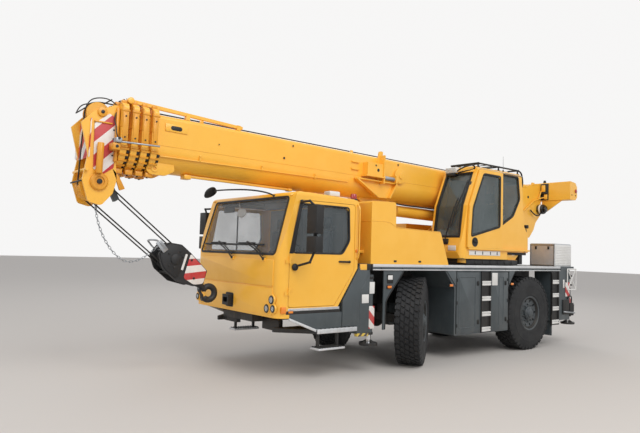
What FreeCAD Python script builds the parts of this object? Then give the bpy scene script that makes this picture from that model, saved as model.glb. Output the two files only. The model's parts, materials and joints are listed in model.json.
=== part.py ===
import FreeCAD, Part
import math
import os

os.makedirs("parts", exist_ok=True)

# Two-axle telescopic mobile crane in millimetres, +X forward, +Y left, +Z up, ground at Z = 0.
# X = 0 lies 270 mm ahead of the front axle, and the export moves it to the middle of the length.

V = FreeCAD.Vector

# Overall body width and the largest boom reach
body_half_width = 1250.0
head_reach = 5150.0

# Wheels, steering and axles
wheelbase = 3330.0
front_axle_x = -270.0
kingpin_y = body_half_width - 200.0
tyre_radius = 746.0
tyre_width = 445.0
tyre_shoulder = 40.0
rim_seat_radius = 318.0
rim_flange_radius = 345.0
rim_half_width = 200.0
rim_flange_thickness = 16.0
rim_wall = 18.0
rim_disc_offset = 120.0
rim_disc_thickness = 20.0
hub_radius = 140.0
hub_length = 200.0
hub_inner_end = 85.0
spindle_radius = 60.0
knuckle_radius = 70.0
knuckle_half_height = 95.0
kingpin_radius = 28.0
axle_half_width = 75.0
differential_radius = 205.0
fork_depth = 50.0
fork_half_width = 60.0
fork_reach = 45.0
running_fit = 0.4
front_left_steer = 35.0
front_right_steer = 28.0

# Carrier frame and deck
frame_half_width = 380.0
frame_low = 980.0
frame_rear = -5000.0
nose_low = 790.0
nose_front = 2560.0
tail_bar_thickness = 60.0
deck_low = 1670.0
deck_top = 1710.0
deck_front = 1190.0
deck_rear = -5400.0
rail_front = 930.0
rail_rear = -4790.0
rail_height = 100.0
rail_thickness = 20.0
tread_height = 80.0
tread_first_z = 1330.0
locker_front = -830.0
locker_rear = -3120.0
locker_low = 444.0
locker_arch_z = 1290.0
toolbox_front = deck_rear + 730.0
toolbox_rear = deck_rear + 30.0
toolbox_height = 490.0
slew_x = -2650.0
ring_radius = 620.0
ring_bore = 470.0
ring_top = 1750.0

# Outriggers: one crossing box per end, two beams side by side in it
beam_width = 160.0
beam_height = 190.0
tunnel_clearance = 5.0
slide_fit = 0.5
tunnel_floor = 985.0
box_wall = 25.0
box_half_length = body_half_width - 170.0
beam_pitch = 200.0
front_beam_x = 880.0
rear_beam_x = -5100.0
beam_travel = 1650.0
jack_y = body_half_width - 90.0
jack_radius = 62.0
jack_low = 600.0
jack_top = 1540.0
jack_rod_radius = 45.0
jack_travel = 520.0
jack_pad_radius = 140.0
jack_pad_low = 430.0
jack_pad_thickness = 40.0

# Carrier cab
cab_front = 2690.0
cab_rear = 1230.0
cab_low = 930.0
cab_roof_front_x = 2420.0
cab_roof_front_z = 2745.0
cab_roof_rear_z = 2690.0
screen_low = 1800.0
cab_wall = 50.0
cab_corner = 150.0
cab_roof_corner = 90.0
door_gap = 6.0
door_front = 2530.0
door_rear = 1300.0
door_low = 1080.0
door_high = 2620.0
hinge_radius = 15.0
hinge_height = 50.0
hinge_reach = 70.0
hinge_strap = 6.0
glass_inset = 14.0
glass_thickness = 8.0
mirror_inner = body_half_width + 255.0
mirror_outer = body_half_width + 460.0
mirror_front = 2410.0
mirror_rear = 2310.0
board_low = 684.0
board_thickness = 66.0
board_front = 2000.0

# Engine hood behind the cab
hood_front = 950.0
hood_rear_low_x = -970.0
hood_step_x = 400.0
hood_high = 2715.0
hood_step_high = 2305.0
hood_wall = 25.0

# Upper works
turntable_low = 1750.5
turntable_top = 1830.0
cheek_inner = 360.0
cheek_outer = 400.0
boom_pivot_x = -4300.0
boom_pivot_z = 3300.0
boom_pin_radius = 60.0
counterweight_front = -5450.0
counterweight_rear = -5770.0
counterweight_half_width = body_half_width - 120.0
counterweight_low = 3250.0
counterweight_top = 3680.0
winch_x = -5000.0
winch_z = 3180.0
winch_flange_radius = 225.0
crane_cab_inner_y = 420.0
crane_cab_front = -1410.0
crane_cab_rear = -3640.0
crane_cab_top = 3600.0
crane_cab_rear_lift = 150.0
crane_cab_step_x = -2860.0
crane_cab_outer_y = body_half_width - 50.0
crane_cab_wall = 40.0
crane_door_gap = 12.0
crane_door_thickness = 34.0
crane_door_low = turntable_top + 210.0
crane_door_rear = -2630.0
roof_guard_radius = 14.0
roof_guard_z = crane_cab_top + 80.0

# Boom, drawn level and then raised by its resting tilt about the boom pin
boom_tilt = 0.9
boom_width = 600.0
boom_height = 780.0
boom_top = 3580.0
boom_wall = 14.0
boom_corner = 60.0
section_clearance = 20.0
pad_fit = 0.5
base_rear = -3900.0
base_front = head_reach - 900.0
section_rear_step = 120.0
collar_pitch = 140.0
collar_length = 85.0
collar_margin = 58.0
head_cheek_inner = 205.0
head_cheek_outer = 235.0
top_sheave_x = head_reach - 255.0
top_sheave_z = 3475.0
top_sheave_radius = 157.0
low_sheave_x = head_reach - 250.0
low_sheave_z = 2496.0
low_sheave_radius = 184.0

# Luffing cylinder between the turntable and the boom
cylinder_foot_x = -3400.0
cylinder_foot_z = 2650.0
cylinder_eye_x = -190.0
cylinder_eye_z = 2672.0
cylinder_pin_radius = 45.0
cylinder_radius = 110.0
cylinder_rod_radius = 65.0
cylinder_barrel_length = 2560.0
cylinder_eye_radius = 95.0
cylinder_eye_half_width = 60.0
cylinder_lug_gap = 8.0
cylinder_lug_drop = 107.0
luff_eye_bore = 52.0

# Hook block and ropes
block_x = 3745.0
block_z = 1710.0
block_hook_distance = 806.0
block_sheave_radius = 178.0
block_half_width = 140.0
block_cheek_half = 222.0
block_length = 580.0
rope_radius = 10.0
rope_spacing = 60.0
sheave_count = 4
groove_depth = 36.0
sheave_width = 50.0
hook_radius = 100.0
hook_bar_radius = 46.0
hook_shank_radius = 55.0

# Tow coupling under the windscreen
coupling_y = -80.0
coupling_z = 1095.0
coupling_half = 88.0
coupling_half_height = 82.0
coupling_slot_half = 62.0
coupling_slot_half_height = 38.0
coupling_pin_radius = 22.0

rear_axle_x = front_axle_x - wheelbase
axle_z = tyre_radius


def place_side(a, b):
    return V(a, 0, b)


def place_plan(a, b):
    return V(a, b, 0)


def place_front(a, b):
    return V(0, a, b)


def outline(corners, place):
    # Corner rows: first coordinate, second coordinate, corner radius
    starts = []
    ends = []
    middles = []
    count = len(corners)
    for index in range(count):
        a, b, radius = corners[index]
        point = FreeCAD.Vector(a, b, 0)
        if radius == 0:
            starts.append(point)
            ends.append(point)
            middles.append(None)
            continue
        before = corners[index - 1]
        after = corners[(index + 1) % count]
        back = (V(before[0], before[1], 0) - point).normalize()
        ahead = (V(after[0], after[1], 0) - point).normalize()
        half = back.getAngle(ahead) / 2
        reach = radius / math.tan(half)
        centre = point + (back + ahead).normalize() * (radius / math.sin(half))
        starts.append(point + back * reach)
        ends.append(point + ahead * reach)
        middles.append(centre + (point - centre).normalize() * radius)
    edges = []
    for index in range(count):
        following = (index + 1) % count
        if middles[index] is not None:
            arc_points = [place(p.x, p.y) for p in (starts[index], middles[index], ends[index])]
            edges.append(Part.Arc(*arc_points).toShape())
        if ends[index].distanceToPoint(starts[following]) > 0.001:
            line_ends = [place(p.x, p.y) for p in (ends[index], starts[following])]
            edges.append(Part.LineSegment(*line_ends).toShape())
    return Part.Face(Part.Wire(edges))


def side_prism(corners, y_low, y_high):
    shape = outline(corners, place_side).extrude(V(0, y_high - y_low, 0))
    shape.translate(V(0, y_low, 0))
    return shape


def plan_prism(corners, z_low, z_high):
    shape = outline(corners, place_plan).extrude(V(0, 0, z_high - z_low))
    shape.translate(V(0, 0, z_low))
    return shape


def front_prism(corners, x_low, x_high):
    shape = outline(corners, place_front).extrude(V(x_high - x_low, 0, 0))
    shape.translate(V(x_low, 0, 0))
    return shape


def block(x_range, y_range, z_range):
    lengths = [high - low for low, high in (x_range, y_range, z_range)]
    return Part.makeBox(lengths[0], lengths[1], lengths[2], V(x_range[0], y_range[0], z_range[0]))


def bar_x(y, z, radius, x_low, x_high):
    return Part.makeCylinder(radius, x_high - x_low, V(x_low, y, z), V(1, 0, 0))


def bar_y(x, z, radius, y_low, y_high):
    return Part.makeCylinder(radius, y_high - y_low, V(x, y_low, z), V(0, 1, 0))


def bar_z(x, y, radius, z_low, z_high):
    return Part.makeCylinder(radius, z_high - z_low, V(x, y, z_low), V(0, 0, 1))


def bar_between(start, end, radius):
    return Part.makeCylinder(radius, (end - start).Length, start, end - start)


def fused(shapes):
    return shapes[0].multiFuse(shapes[1:]).removeSplitter()


def mirrored(shape):
    return shape.mirror(V(0, 0, 0), V(0, 1, 0))


def tilted(shape):
    turned = shape.copy()
    turned.rotate(V(boom_pivot_x, 0, boom_pivot_z), V(0, 1, 0), -boom_tilt)
    return turned


def tilted_point(x, z):
    angle = math.radians(boom_tilt)
    dx = x - boom_pivot_x
    dz = z - boom_pivot_z
    return (boom_pivot_x + dx * math.cos(angle) - dz * math.sin(angle),
            boom_pivot_z + dx * math.sin(angle) + dz * math.cos(angle))


length_middle = (tilted_point(head_reach, boom_pivot_z)[0] + counterweight_rear) / 2


def save(name, shape):
    if not shape.isValid():
        print("invalid shape", name)
    moved = shape.copy()
    moved.translate(V(-length_middle, 0, 0))
    moved.exportStep(os.path.join("parts", name + ".step"))
    print(name, len(moved.Solids), round(moved.Volume / 1e9, 4))


# Wheel, knuckle and axle, each drawn about its own axle at X = 0 on the left side

def tyre():
    half = tyre_width / 2
    seat = rim_half_width
    bulge_low = rim_flange_radius + 60
    bulge_high = tyre_radius - 120
    profile = [
        (rim_seat_radius, -seat), (rim_flange_radius, -seat), (bulge_low, -half), (bulge_high, -half),
        (tyre_radius, -half + tyre_shoulder), (tyre_radius, half - tyre_shoulder),
        (bulge_high, half), (bulge_low, half), (rim_flange_radius, seat), (rim_seat_radius, seat),
    ]
    face = outline([(b, a, 0) for a, b in profile], place_front)
    return face.revolve(V(0, 0, 0), V(0, 1, 0), 360)


def rim():
    edge = rim_half_width + rim_flange_thickness
    inner = rim_seat_radius - rim_wall
    bore = spindle_radius + running_fit
    disc_in = rim_disc_offset
    disc_out = rim_disc_offset + rim_disc_thickness
    profile = [
        (rim_seat_radius, -rim_half_width), (rim_flange_radius, -rim_half_width),
        (rim_flange_radius, -edge), (inner, -edge), (inner, disc_in), (hub_radius, disc_in),
        (hub_radius, hub_inner_end), (bore, hub_inner_end), (bore, hub_length),
        (hub_radius, hub_length), (hub_radius, disc_out), (inner, disc_out), (inner, edge),
        (rim_flange_radius, edge), (rim_flange_radius, rim_half_width), (rim_seat_radius, rim_half_width),
    ]
    face = outline([(b, a, 0) for a, b in profile], place_front)
    return face.revolve(V(0, 0, 0), V(0, 1, 0), 360)


def knuckle():
    body = bar_z(0, 0, knuckle_radius, -knuckle_half_height, knuckle_half_height)
    spindle = bar_y(0, 0, spindle_radius, 30, hub_length - 10)
    pin_hole = bar_z(0, 0, kingpin_radius + running_fit, -knuckle_half_height, knuckle_half_height)
    return fused([body, spindle]).cut(pin_hole)


def axle(x):
    ear_low = knuckle_half_height + tunnel_clearance
    ear_high = ear_low + fork_depth
    web_in = kingpin_y - knuckle_radius - 110
    web_out = kingpin_y - knuckle_radius - 55
    half = axle_half_width
    pieces = [
        block((-half, half), (-web_out, web_out), (-half, half)),
        bar_y(0, 0, differential_radius, -190, 190),
    ]
    for side in (-1, 1):
        y_range = sorted((side * web_in, side * (kingpin_y + fork_reach)))
        web_range = sorted((side * web_in, side * web_out))
        ear = (-fork_half_width, fork_half_width)
        pieces.append(block(ear, y_range, (ear_low, ear_high)))
        pieces.append(block(ear, y_range, (-ear_high, -ear_low)))
        pieces.append(block((-half, half), web_range, (-ear_high, ear_high)))
        pieces.append(bar_z(0, side * kingpin_y, kingpin_radius, -ear_high, ear_high))
        post = sorted((side * (frame_half_width - 20), side * (frame_half_width - 140)))
        pieces.append(block((-60, 60), post, (0, frame_low - axle_z)))
    shape = fused(pieces)
    shape.translate(V(x, 0, axle_z))
    return shape


def wheel_set():
    # Name, axle X, side of the carrier, steering angle at rest
    rows = [
        ("front_left", front_axle_x, 1, front_left_steer),
        ("front_right", front_axle_x, -1, front_right_steer),
        ("rear_left", rear_axle_x, 1, 0.0),
        ("rear_right", rear_axle_x, -1, 0.0),
    ]
    for name, x, side, steer in rows:
        for node, shape in (("tyre", tyre()), ("rim", rim()), ("knuckle", knuckle())):
            placed = shape if side > 0 else mirrored(shape)
            if steer:
                placed.rotate(V(0, 0, 0), V(0, 0, 1), steer)
            placed.translate(V(x, side * kingpin_y, axle_z))
            save(node + "_" + name, placed)


# Carrier

def outrigger_rows():
    # Name, side, beam centre X
    return [
        ("front_left", 1, front_beam_x),
        ("front_right", -1, front_beam_x + beam_pitch),
        ("rear_left", 1, rear_beam_x - beam_pitch),
        ("rear_right", -1, rear_beam_x),
    ]


def tunnel(x):
    half = beam_width / 2 + tunnel_clearance
    top = tunnel_floor + slide_fit + beam_height + tunnel_clearance
    return block((x - half, x + half), (-box_half_length, box_half_length), (tunnel_floor, top))


def crossing_box(x_a, x_b):
    margin = beam_width / 2 + tunnel_clearance + box_wall
    top = tunnel_floor + slide_fit + beam_height + tunnel_clearance + box_wall
    return block((min(x_a, x_b) - margin, max(x_a, x_b) + margin),
                 (-box_half_length, box_half_length), (tunnel_floor - box_wall, top))


def chassis_frame():
    half = frame_half_width
    pieces = [
        block((frame_rear, deck_front), (-half, half), (frame_low, deck_low)),
        block((front_beam_x, nose_front), (-half, half), (nose_low, cab_low)),
        block((front_beam_x, deck_front), (-half, half), (nose_low, frame_low)),
        crossing_box(front_beam_x, front_beam_x + beam_pitch),
        crossing_box(rear_beam_x, rear_beam_x - beam_pitch),
    ]
    frame = fused(pieces + tail_bar())
    for name, side, x in outrigger_rows():
        frame = frame.cut(tunnel(x))
    return frame


def deck_plate():
    plate = block((deck_rear, deck_front), (-body_half_width, body_half_width), (deck_low, deck_top))
    return plate.cut(bar_z(slew_x, 0, ring_bore, deck_low, deck_top))


def slew_ring():
    ring = bar_z(slew_x, 0, ring_radius, deck_top, ring_top)
    return ring.cut(bar_z(slew_x, 0, ring_bore, deck_top, ring_top))


def step_treads(x_low, x_high, pitch, count):
    out = body_half_width
    y_range = (out, out + rail_thickness)
    lows = [tread_first_z - n * pitch for n in range(count)]
    return [block((x_low, x_high), y_range, (low, low + tread_height)) for low in lows]


def deck_rails():
    low = deck_top - rail_height
    out = body_half_width
    left = [block((rail_rear, rail_front), (out, out + rail_thickness), (low, deck_top))]
    left += step_treads(-2220, -1935, 288, 4)
    left += step_treads(-4715, -4430, 285, 4)
    return Part.makeCompound(left + [mirrored(shape) for shape in left])


def side_locker():
    front = locker_front - 320
    rear = locker_rear + 290
    corners = [(locker_front, deck_low, 0), (front, locker_arch_z, 60), (front, locker_low, 30),
               (rear, locker_low, 30), (rear, locker_arch_z, 60), (locker_rear, deck_low, 0)]
    return side_prism(corners, frame_half_width, body_half_width)


def corner_covers():
    # Side, X range, Z low: closed covers over the ends of the outrigger boxes
    gap = beam_width / 2 + 10
    front_right_x = front_beam_x + beam_pitch
    rows = [
        (1, (front_beam_x + gap, 1210), 630),
        (-1, (front_beam_x - 90, front_right_x - gap), 630),
        (1, (rear_beam_x - beam_pitch + gap, -4430), 540),
        (-1, (rear_beam_x + gap, -4430), 540),
        (-1, (deck_rear, rear_beam_x - gap), 540),
    ]
    shapes = []
    for side, x_range, low in rows:
        y_range = sorted((side * box_half_length, side * body_half_width))
        shapes.append(block(x_range, y_range, (low, deck_low)))
    flap_x = -4430
    for side, cover in ((1, 2), (-1, 3)):
        flap_range = sorted((side * (box_half_length - 210), side * body_half_width))
        hanger = block((flap_x - 50, flap_x), flap_range, (540, deck_low))
        flap = block((flap_x - 50, flap_x - 25), flap_range, (230, 540))
        shapes[cover] = fused([shapes[cover], hanger, flap])
    return Part.makeCompound(shapes)


def front_fenders():
    strip_low = 660
    arch = [(650, deck_low, 0), (180, deck_low, 0), (180, 1600, 40), (585, 1130, 60), (600, strip_low, 0),
            (650, strip_low, 0)]
    left = side_prism(arch, body_half_width - 20, body_half_width)
    return Part.makeCompound([left, mirrored(left)])


def running_board():
    low, high = board_low, board_low + board_thickness
    outer = body_half_width + 40
    inner = outer - 490
    board = plan_prism([(1240, inner, 0), (1240, outer, 0), (board_front, outer, 60),
                        (board_front + 480, inner + 60, 60), (board_front + 480, inner, 0)], low, high)
    arms = [block((x, x + 80), (frame_half_width, inner + 20), (low, nose_low + 60)) for x in (1400, 2300)]
    hanger = [block((x, x + 40), (outer - 130, outer - 90), (470, low)) for x in (1530, 1900)]
    tread = block((1480, 1980), (outer - 200, outer), (440, 470))
    return fused([board, tread] + arms + hanger)


def tail_bar():
    half = body_half_width - 20
    x_range = (deck_rear - tail_bar_thickness, deck_rear)
    bar = block(x_range, (-half, half), (700, 860))
    posts = [block(x_range, (side * 330 - 50, side * 330 + 50), (860, deck_low)) for side in (-1, 1)]
    return [bar] + posts


def toolbox():
    y_range = (body_half_width - 650, body_half_width - 50)
    return block((toolbox_rear, toolbox_front), y_range, (deck_top, deck_top + toolbox_height))


def engine_block():
    return block((-500, 850), (-420, 420), (deck_top, 2240))


def engine_hood():
    foot = hood_rear_low_x
    corners = [(hood_front, deck_top, 0), (hood_front, hood_high, 40), (hood_step_x, hood_high + 12, 40),
               (hood_step_x - 10, hood_step_high, 0), (-740, hood_step_high - 15, 50), (foot, deck_top, 0)]
    outer = side_prism(corners, -body_half_width, body_half_width)
    wall = hood_wall
    inner_corners = [(hood_front - wall, deck_top, 0), (hood_front - wall, hood_high - wall, 20),
                     (hood_step_x + wall, hood_high + 12 - wall, 20),
                     (hood_step_x + wall - 10, hood_step_high - wall, 0),
                     (-740 + wall, hood_step_high - 15 - wall, 20), (foot + wall, deck_top, 0)]
    inner = side_prism(inner_corners, wall - body_half_width, body_half_width - wall)
    return outer.cut(inner)


# Carrier cab

def cab_body(inset):
    side = [(cab_rear, 1640, 0), (cab_rear, cab_roof_rear_z, 60), (cab_roof_front_x, cab_roof_front_z, 80),
            (cab_front, screen_low, 0), (cab_front, cab_low, 0), (1700, cab_low, 0)]
    half = body_half_width
    plan = [(cab_rear - 10, -half, 0), (cab_front, -half, cab_corner), (cab_front, half, cab_corner),
            (cab_rear - 10, half, 0)]
    front_low = cab_low - 10
    front_top = cab_roof_front_z + 20
    front = [(-half, front_low, 0), (half, front_low, 0), (half, front_top, cab_roof_corner),
             (-half, front_top, cab_roof_corner)]
    shapes = []
    for corners, place, direction, start in (
            (side, place_side, V(0, 2 * half, 0), V(0, -half, 0)),
            (plan, place_plan, V(0, 0, 2500), V(0, 0, cab_low - 100)),
            (front, place_front, V(2000, 0, 0), V(cab_rear - 100, 0, 0))):
        face = outline(corners, place)
        if inset:
            face = Part.Face(face.OuterWire.makeOffset2D(-inset, 2))
        shape = face.extrude(direction)
        shape.translate(start)
        shapes.append(shape)
    return shapes[0].common(shapes[1]).common(shapes[2])


def door_outline(gap):
    low = door_low + gap
    return [(door_front - gap, low, 30), (1680 + gap, low, 30), (door_rear + gap, 1600, 30),
            (door_rear + gap, door_high - gap, 50), (2385 - gap, door_high - gap, 60),
            (door_front - gap, 1850, 100)]


def door_window():
    return [(2455, 1860, 40), (1545, 1860, 60), (1412, 2060, 60), (1440, 2555, 50), (2330, 2555, 50)]


def screen_outline():
    half = body_half_width - 160
    return [(-half, screen_low + 30, 60), (half, screen_low + 30, 60), (half - 30, 2650, 60),
            (30 - half, 2650, 60)]


def cab_parts():
    outer = cab_body(0)
    walls = outer.cut(cab_body(cab_wall))
    half = body_half_width
    opening = side_prism(door_outline(0), half - cab_wall - 60, half + 60)
    door = walls.common(side_prism(door_outline(door_gap), half - cab_wall - 60, half + 60))
    door = door.cut(side_prism(door_window(), half - cab_wall - 60, half + 60))
    shell = walls.cut(opening).cut(mirrored(opening))
    screen = front_prism(screen_outline(), cab_roof_front_x - 220, cab_front + 40)
    glass = cab_body(glass_inset).cut(cab_body(glass_inset + glass_thickness)).common(screen)
    shell = shell.cut(screen)
    return shell, glass, door


def hinge_barrels(z):
    # Two stacked barrels on the door's hinge line: the lower one on the pillar, the upper one on the door
    x = door_front - door_gap / 2
    y = body_half_width + hinge_radius
    high = z + hinge_height
    strap_y = (body_half_width, body_half_width + hinge_strap)
    pillar = fused([bar_z(x, y, hinge_radius, z, high), block((x, x + hinge_reach), strap_y, (z, high))])
    leaf_z = (high + running_fit, high + running_fit + hinge_height)
    leaf = fused([bar_z(x, y, hinge_radius, leaf_z[0], leaf_z[1]),
                  block((x - hinge_reach, x), strap_y, leaf_z)])
    return pillar, leaf


def mirror_set():
    # Two heads, one over the other, on bent arms from the cab's front pillar
    low_z, high_z = 1650, 2585
    foot_y = body_half_width - cab_wall / 2
    arm_x = (mirror_front + mirror_rear) / 2
    arm_y = (mirror_inner + mirror_outer) / 2
    pieces = []
    head = [(mirror_rear, mirror_inner, 40), (mirror_front, mirror_inner, 40),
            (mirror_front, mirror_outer, 40), (mirror_rear, mirror_outer, 40)]
    for low, high in ((2130, 2515), (1872, 2086)):
        pieces.append(plan_prism(head, low, high))
    bend = V(mirror_front + 15, mirror_inner + 40, high_z - 5)
    pieces += rod([V(2340, foot_y, high_z), bend, V(arm_x, arm_y, 2500)], 14)
    low_bend = V(mirror_front, arm_y - 40, low_z + 80)
    pieces += rod([V(2440, foot_y, low_z), low_bend, V(arm_x, arm_y, 1890)], 14)
    pieces += rod([V(arm_x, arm_y, 2070), V(arm_x, arm_y, 2150)], 14)
    return pieces


def rod(points, radius):
    bars = [bar_between(points[n], points[n + 1], radius) for n in range(len(points) - 1)]
    return bars + [Part.makeSphere(radius, point) for point in points[1:-1]]


def cab_interior():
    half = body_half_width - cab_wall
    floor = cab_low + cab_wall
    dash_front = cab_front - 130
    knee_x = dash_front - 230
    dash = side_prism([(dash_front, floor, 0), (dash_front, 1760, 0), (dash_front - 300, 1790, 0),
                       (dash_front - 360, 1650, 0), (knee_x, 1200, 0), (knee_x, floor, 0)],
                      -half + 60, half - 60)
    seats = []
    for y in (600, -600):
        cushion = block((1440, 1940), (y - 250, y + 250), (1440, 1560))
        pedestal = block((1760, 1920), (y - 150, y + 150), (floor, 1440))
        back = side_prism([(1440, 1560, 0), (1560, 1560, 0), (1450, 2280, 40), (1330, 2280, 40)],
                          y - 240, y + 240)
        seats.append(fused([cushion, pedestal, back]))
    return Part.makeCompound([dash] + seats)


def lamps():
    # Y, Z, radius of the round front lamps in the bumper's corners
    shapes = []
    half = body_half_width
    for y, z, radius in ((half - 154, 1184, 45), (half - 268, 1053, 45), (half - 114, 1061, 38)):
        for side in (-1, 1):
            shapes.append(bar_x(side * y, z, radius, cab_front, cab_front + 25))
    return Part.makeCompound(shapes)


def tow_coupling():
    x = cab_front
    depth = 90
    low, high = coupling_z - coupling_half_height, coupling_z + coupling_half_height
    jaw = block((x, x + depth), (coupling_y - coupling_half, coupling_y + coupling_half), (low, high))
    slot = block((x + 25, x + depth), (coupling_y - coupling_slot_half, coupling_y + coupling_slot_half),
                 (coupling_z - coupling_slot_half_height, coupling_z + coupling_slot_half_height))
    pin_hole = bar_z(x + 60, coupling_y, coupling_pin_radius, low, high)
    return jaw.cut(slot).cut(pin_hole)


# Upper works

def cheek_outline():
    # Its rear edge keeps over the engine hood's step and the toolbox as the upper works turn
    rear = counterweight_front
    clear_z = hood_step_high + 25
    return [(-1960, turntable_top, 0), (-2150, 2330, 60), (-3200, 2960, 100), (-3900, 3480, 100),
            (-4600, 3500, 200), (-5200, 3640, 100), (rear, 3660, 0), (rear, 2920, 60),
            (rear + 220, 2720, 40), (rear + 310, 2540, 40),
            (rear + 490, clear_z + 20, 60), (boom_pivot_x - 200, clear_z, 100),
            (-4200, turntable_top, 0)]


def turntable_frame():
    left = body_half_width - 100
    right = -body_half_width + 150
    base = plan_prism([(-1500, right, 120), (-1500, left, 120), (-3300, left, 100), (-3900, 420, 100),
                       (-3900, -420, 100), (-3300, right, 100)], turntable_low, turntable_top)
    cheek = side_prism(cheek_outline(), cheek_inner, cheek_outer)
    front_web = block((-2060, -2020), (-cheek_inner, cheek_inner), (turntable_top, 2180))
    inside = (-cheek_inner, cheek_inner)
    rear_web = block((counterweight_front, counterweight_front + 40), inside, (3270, 3640))
    winch_web = block((counterweight_front + 215, counterweight_front + 255), inside, (2745, 2930))
    boom_pin = bar_y(boom_pivot_x, boom_pivot_z, boom_pin_radius, -cheek_outer - 25, cheek_outer + 25)
    foot_pin = bar_y(cylinder_foot_x, cylinder_foot_z, cylinder_pin_radius, -cheek_outer, cheek_outer)
    boss_y = cheek_outer + 10
    bosses = [bar_y(boom_pivot_x, boom_pivot_z, 130, side * boss_y - 10, side * boss_y + 10)
              for side in (-1, 1)]
    shapes = [base, cheek, mirrored(cheek), front_web, rear_web, winch_web, boom_pin, foot_pin] + bosses
    return fused(shapes)


def hoist_winch():
    drum = [
        bar_y(winch_x, winch_z, 170, -250, 250),
        bar_y(winch_x, winch_z, winch_flange_radius, -270, -250),
        bar_y(winch_x, winch_z, winch_flange_radius, 250, 270),
        bar_y(winch_x, winch_z, 110, 270, cheek_inner),
        bar_y(winch_x, winch_z, 110, -cheek_inner, -270),
    ]
    return fused(drum)


def counterweight():
    low = counterweight_low
    top = counterweight_top
    slope_x = counterweight_rear + 70
    corners = [(counterweight_front, low, 0), (counterweight_front, top, 20), (slope_x, top - 30, 30),
               (counterweight_rear, top - 120, 30), (counterweight_rear, low + 70, 30), (slope_x, low, 30)]
    half = counterweight_half_width
    return side_prism(corners, -half, half)


def crane_cab_body(inset):
    floor = turntable_top
    front = crane_cab_front
    rear = crane_cab_rear
    top = crane_cab_top
    low_y = crane_cab_inner_y
    high_y = crane_cab_outer_y
    side = [(rear, floor + crane_cab_rear_lift, 0), (rear, floor + 470, 60), (rear + 180, floor + 680, 60),
            (rear + 300, top, 60), (front - 470, top, 60), (front - 135, floor + 1000, 0),
            (front - 50, floor + 420, 60), (front, floor + 120, 0), (front - 30, floor, 0),
            (crane_cab_step_x, floor, 0), (crane_cab_step_x, floor + crane_cab_rear_lift, 0)]
    plan = [(rear, low_y, 0), (rear, high_y, 60), (front, high_y, 150), (front, low_y, 60)]
    across = [(low_y, floor - 130, 0), (high_y, floor - 130, 0), (high_y, top, 70), (low_y, top, 70)]
    shapes = []
    for corners, place, direction, start in (
            (side, place_side, V(0, high_y - low_y, 0), V(0, low_y, 0)),
            (plan, place_plan, V(0, 0, top - floor + 300), V(0, 0, floor - 130)),
            (across, place_front, V(front - rear + 300, 0, 0), V(rear - 150, 0, 0))):
        face = outline(corners, place)
        if inset:
            face = Part.Face(face.OuterWire.makeOffset2D(-inset, 2))
        shape = face.extrude(direction)
        shape.translate(start)
        shapes.append(shape)
    return shapes[0].common(shapes[1]).common(shapes[2])


def crane_cab_parts():
    floor = turntable_top
    front = crane_cab_front
    rear = crane_cab_rear
    top = crane_cab_top
    low_y = crane_cab_inner_y
    high_y = crane_cab_outer_y
    outer_side = (high_y - crane_cab_wall - 5, high_y + 5)
    walls = crane_cab_body(0).cut(crane_cab_body(crane_cab_wall))
    doorway_rear = crane_door_rear + 90
    doorway = side_prism([(front - 210, floor + 250, 30), (doorway_rear, floor + 250, 30),
                          (doorway_rear, top - 130, 30), (front - 570, top - 130, 30),
                          (front - 240, floor + 1000, 0)], outer_side[0], outer_side[1])
    screen = front_prism([(low_y + 60, floor + 430, 40), (high_y - 90, floor + 430, 40),
                          (high_y - 90, top - 130, 40), (low_y + 60, top - 130, 40)],
                         front - 590, front + 110)
    rear_side = side_prism([(rear + 960, floor + 685, 30), (rear + 960, top - 80, 40),
                            (rear + 425, top - 80, 40),
                            (rear + 360, floor + 1240, 60), (rear + 580, floor + 885, 60)],
                           outer_side[0], outer_side[1])
    inner_side = side_prism([(front - 290, floor + 570, 50), (rear + 410, floor + 570, 50),
                             (rear + 440, top - 180, 50), (front - 590, top - 180, 50)],
                            low_y - 5, low_y + crane_cab_wall + 5)
    back = front_prism([(low_y + 90, floor + 760, 40), (high_y - 90, floor + 760, 40),
                        (high_y - 90, top - 180, 40), (low_y + 90, top - 180, 40)], rear + 100, rear + 400)
    roof = plan_prism([(front - 640, low_y + 110, 40), (front - 640, high_y - 110, 40),
                       (rear + 760, high_y - 110, 40), (rear + 760, low_y + 110, 40)], top - 100, top + 60)
    panes = [screen, rear_side, inner_side, back, roof]
    shell = walls.cut(doorway)
    inset = crane_cab_wall / 2
    sheet = crane_cab_body(inset).cut(crane_cab_body(inset + glass_thickness))
    glass = Part.makeCompound([sheet.common(pane) for pane in panes])
    for pane in panes:
        shell = shell.cut(pane)
    rail = block((rear + 40, front - 150), (high_y, high_y + crane_door_gap + crane_door_thickness),
                 (crane_door_low - 35, crane_door_low - slide_fit))
    return fused([shell, rail] + roof_guard()), glass


def roof_guard():
    # Two rails along the crane cab's roof with three cross bars
    front_x = crane_cab_front - 550
    rear_x = crane_cab_rear + 310
    radius = roof_guard_radius
    foot_z = crane_cab_top - crane_cab_wall / 2
    inner_y = crane_cab_inner_y + 80
    outer_y = crane_cab_outer_y - 80
    bars = []
    for y in (inner_y, outer_y):
        bars.append(bar_x(y, roof_guard_z, radius, rear_x, front_x))
        for x in (front_x - radius, (front_x + rear_x) / 2, rear_x + radius):
            bars.append(bar_z(x, y, radius, foot_z, roof_guard_z))
    for x in (front_x - radius, (front_x + rear_x) / 2, rear_x + radius):
        bars.append(bar_y(x, roof_guard_z, radius, inner_y - radius, outer_y + radius))
    return bars


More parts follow.
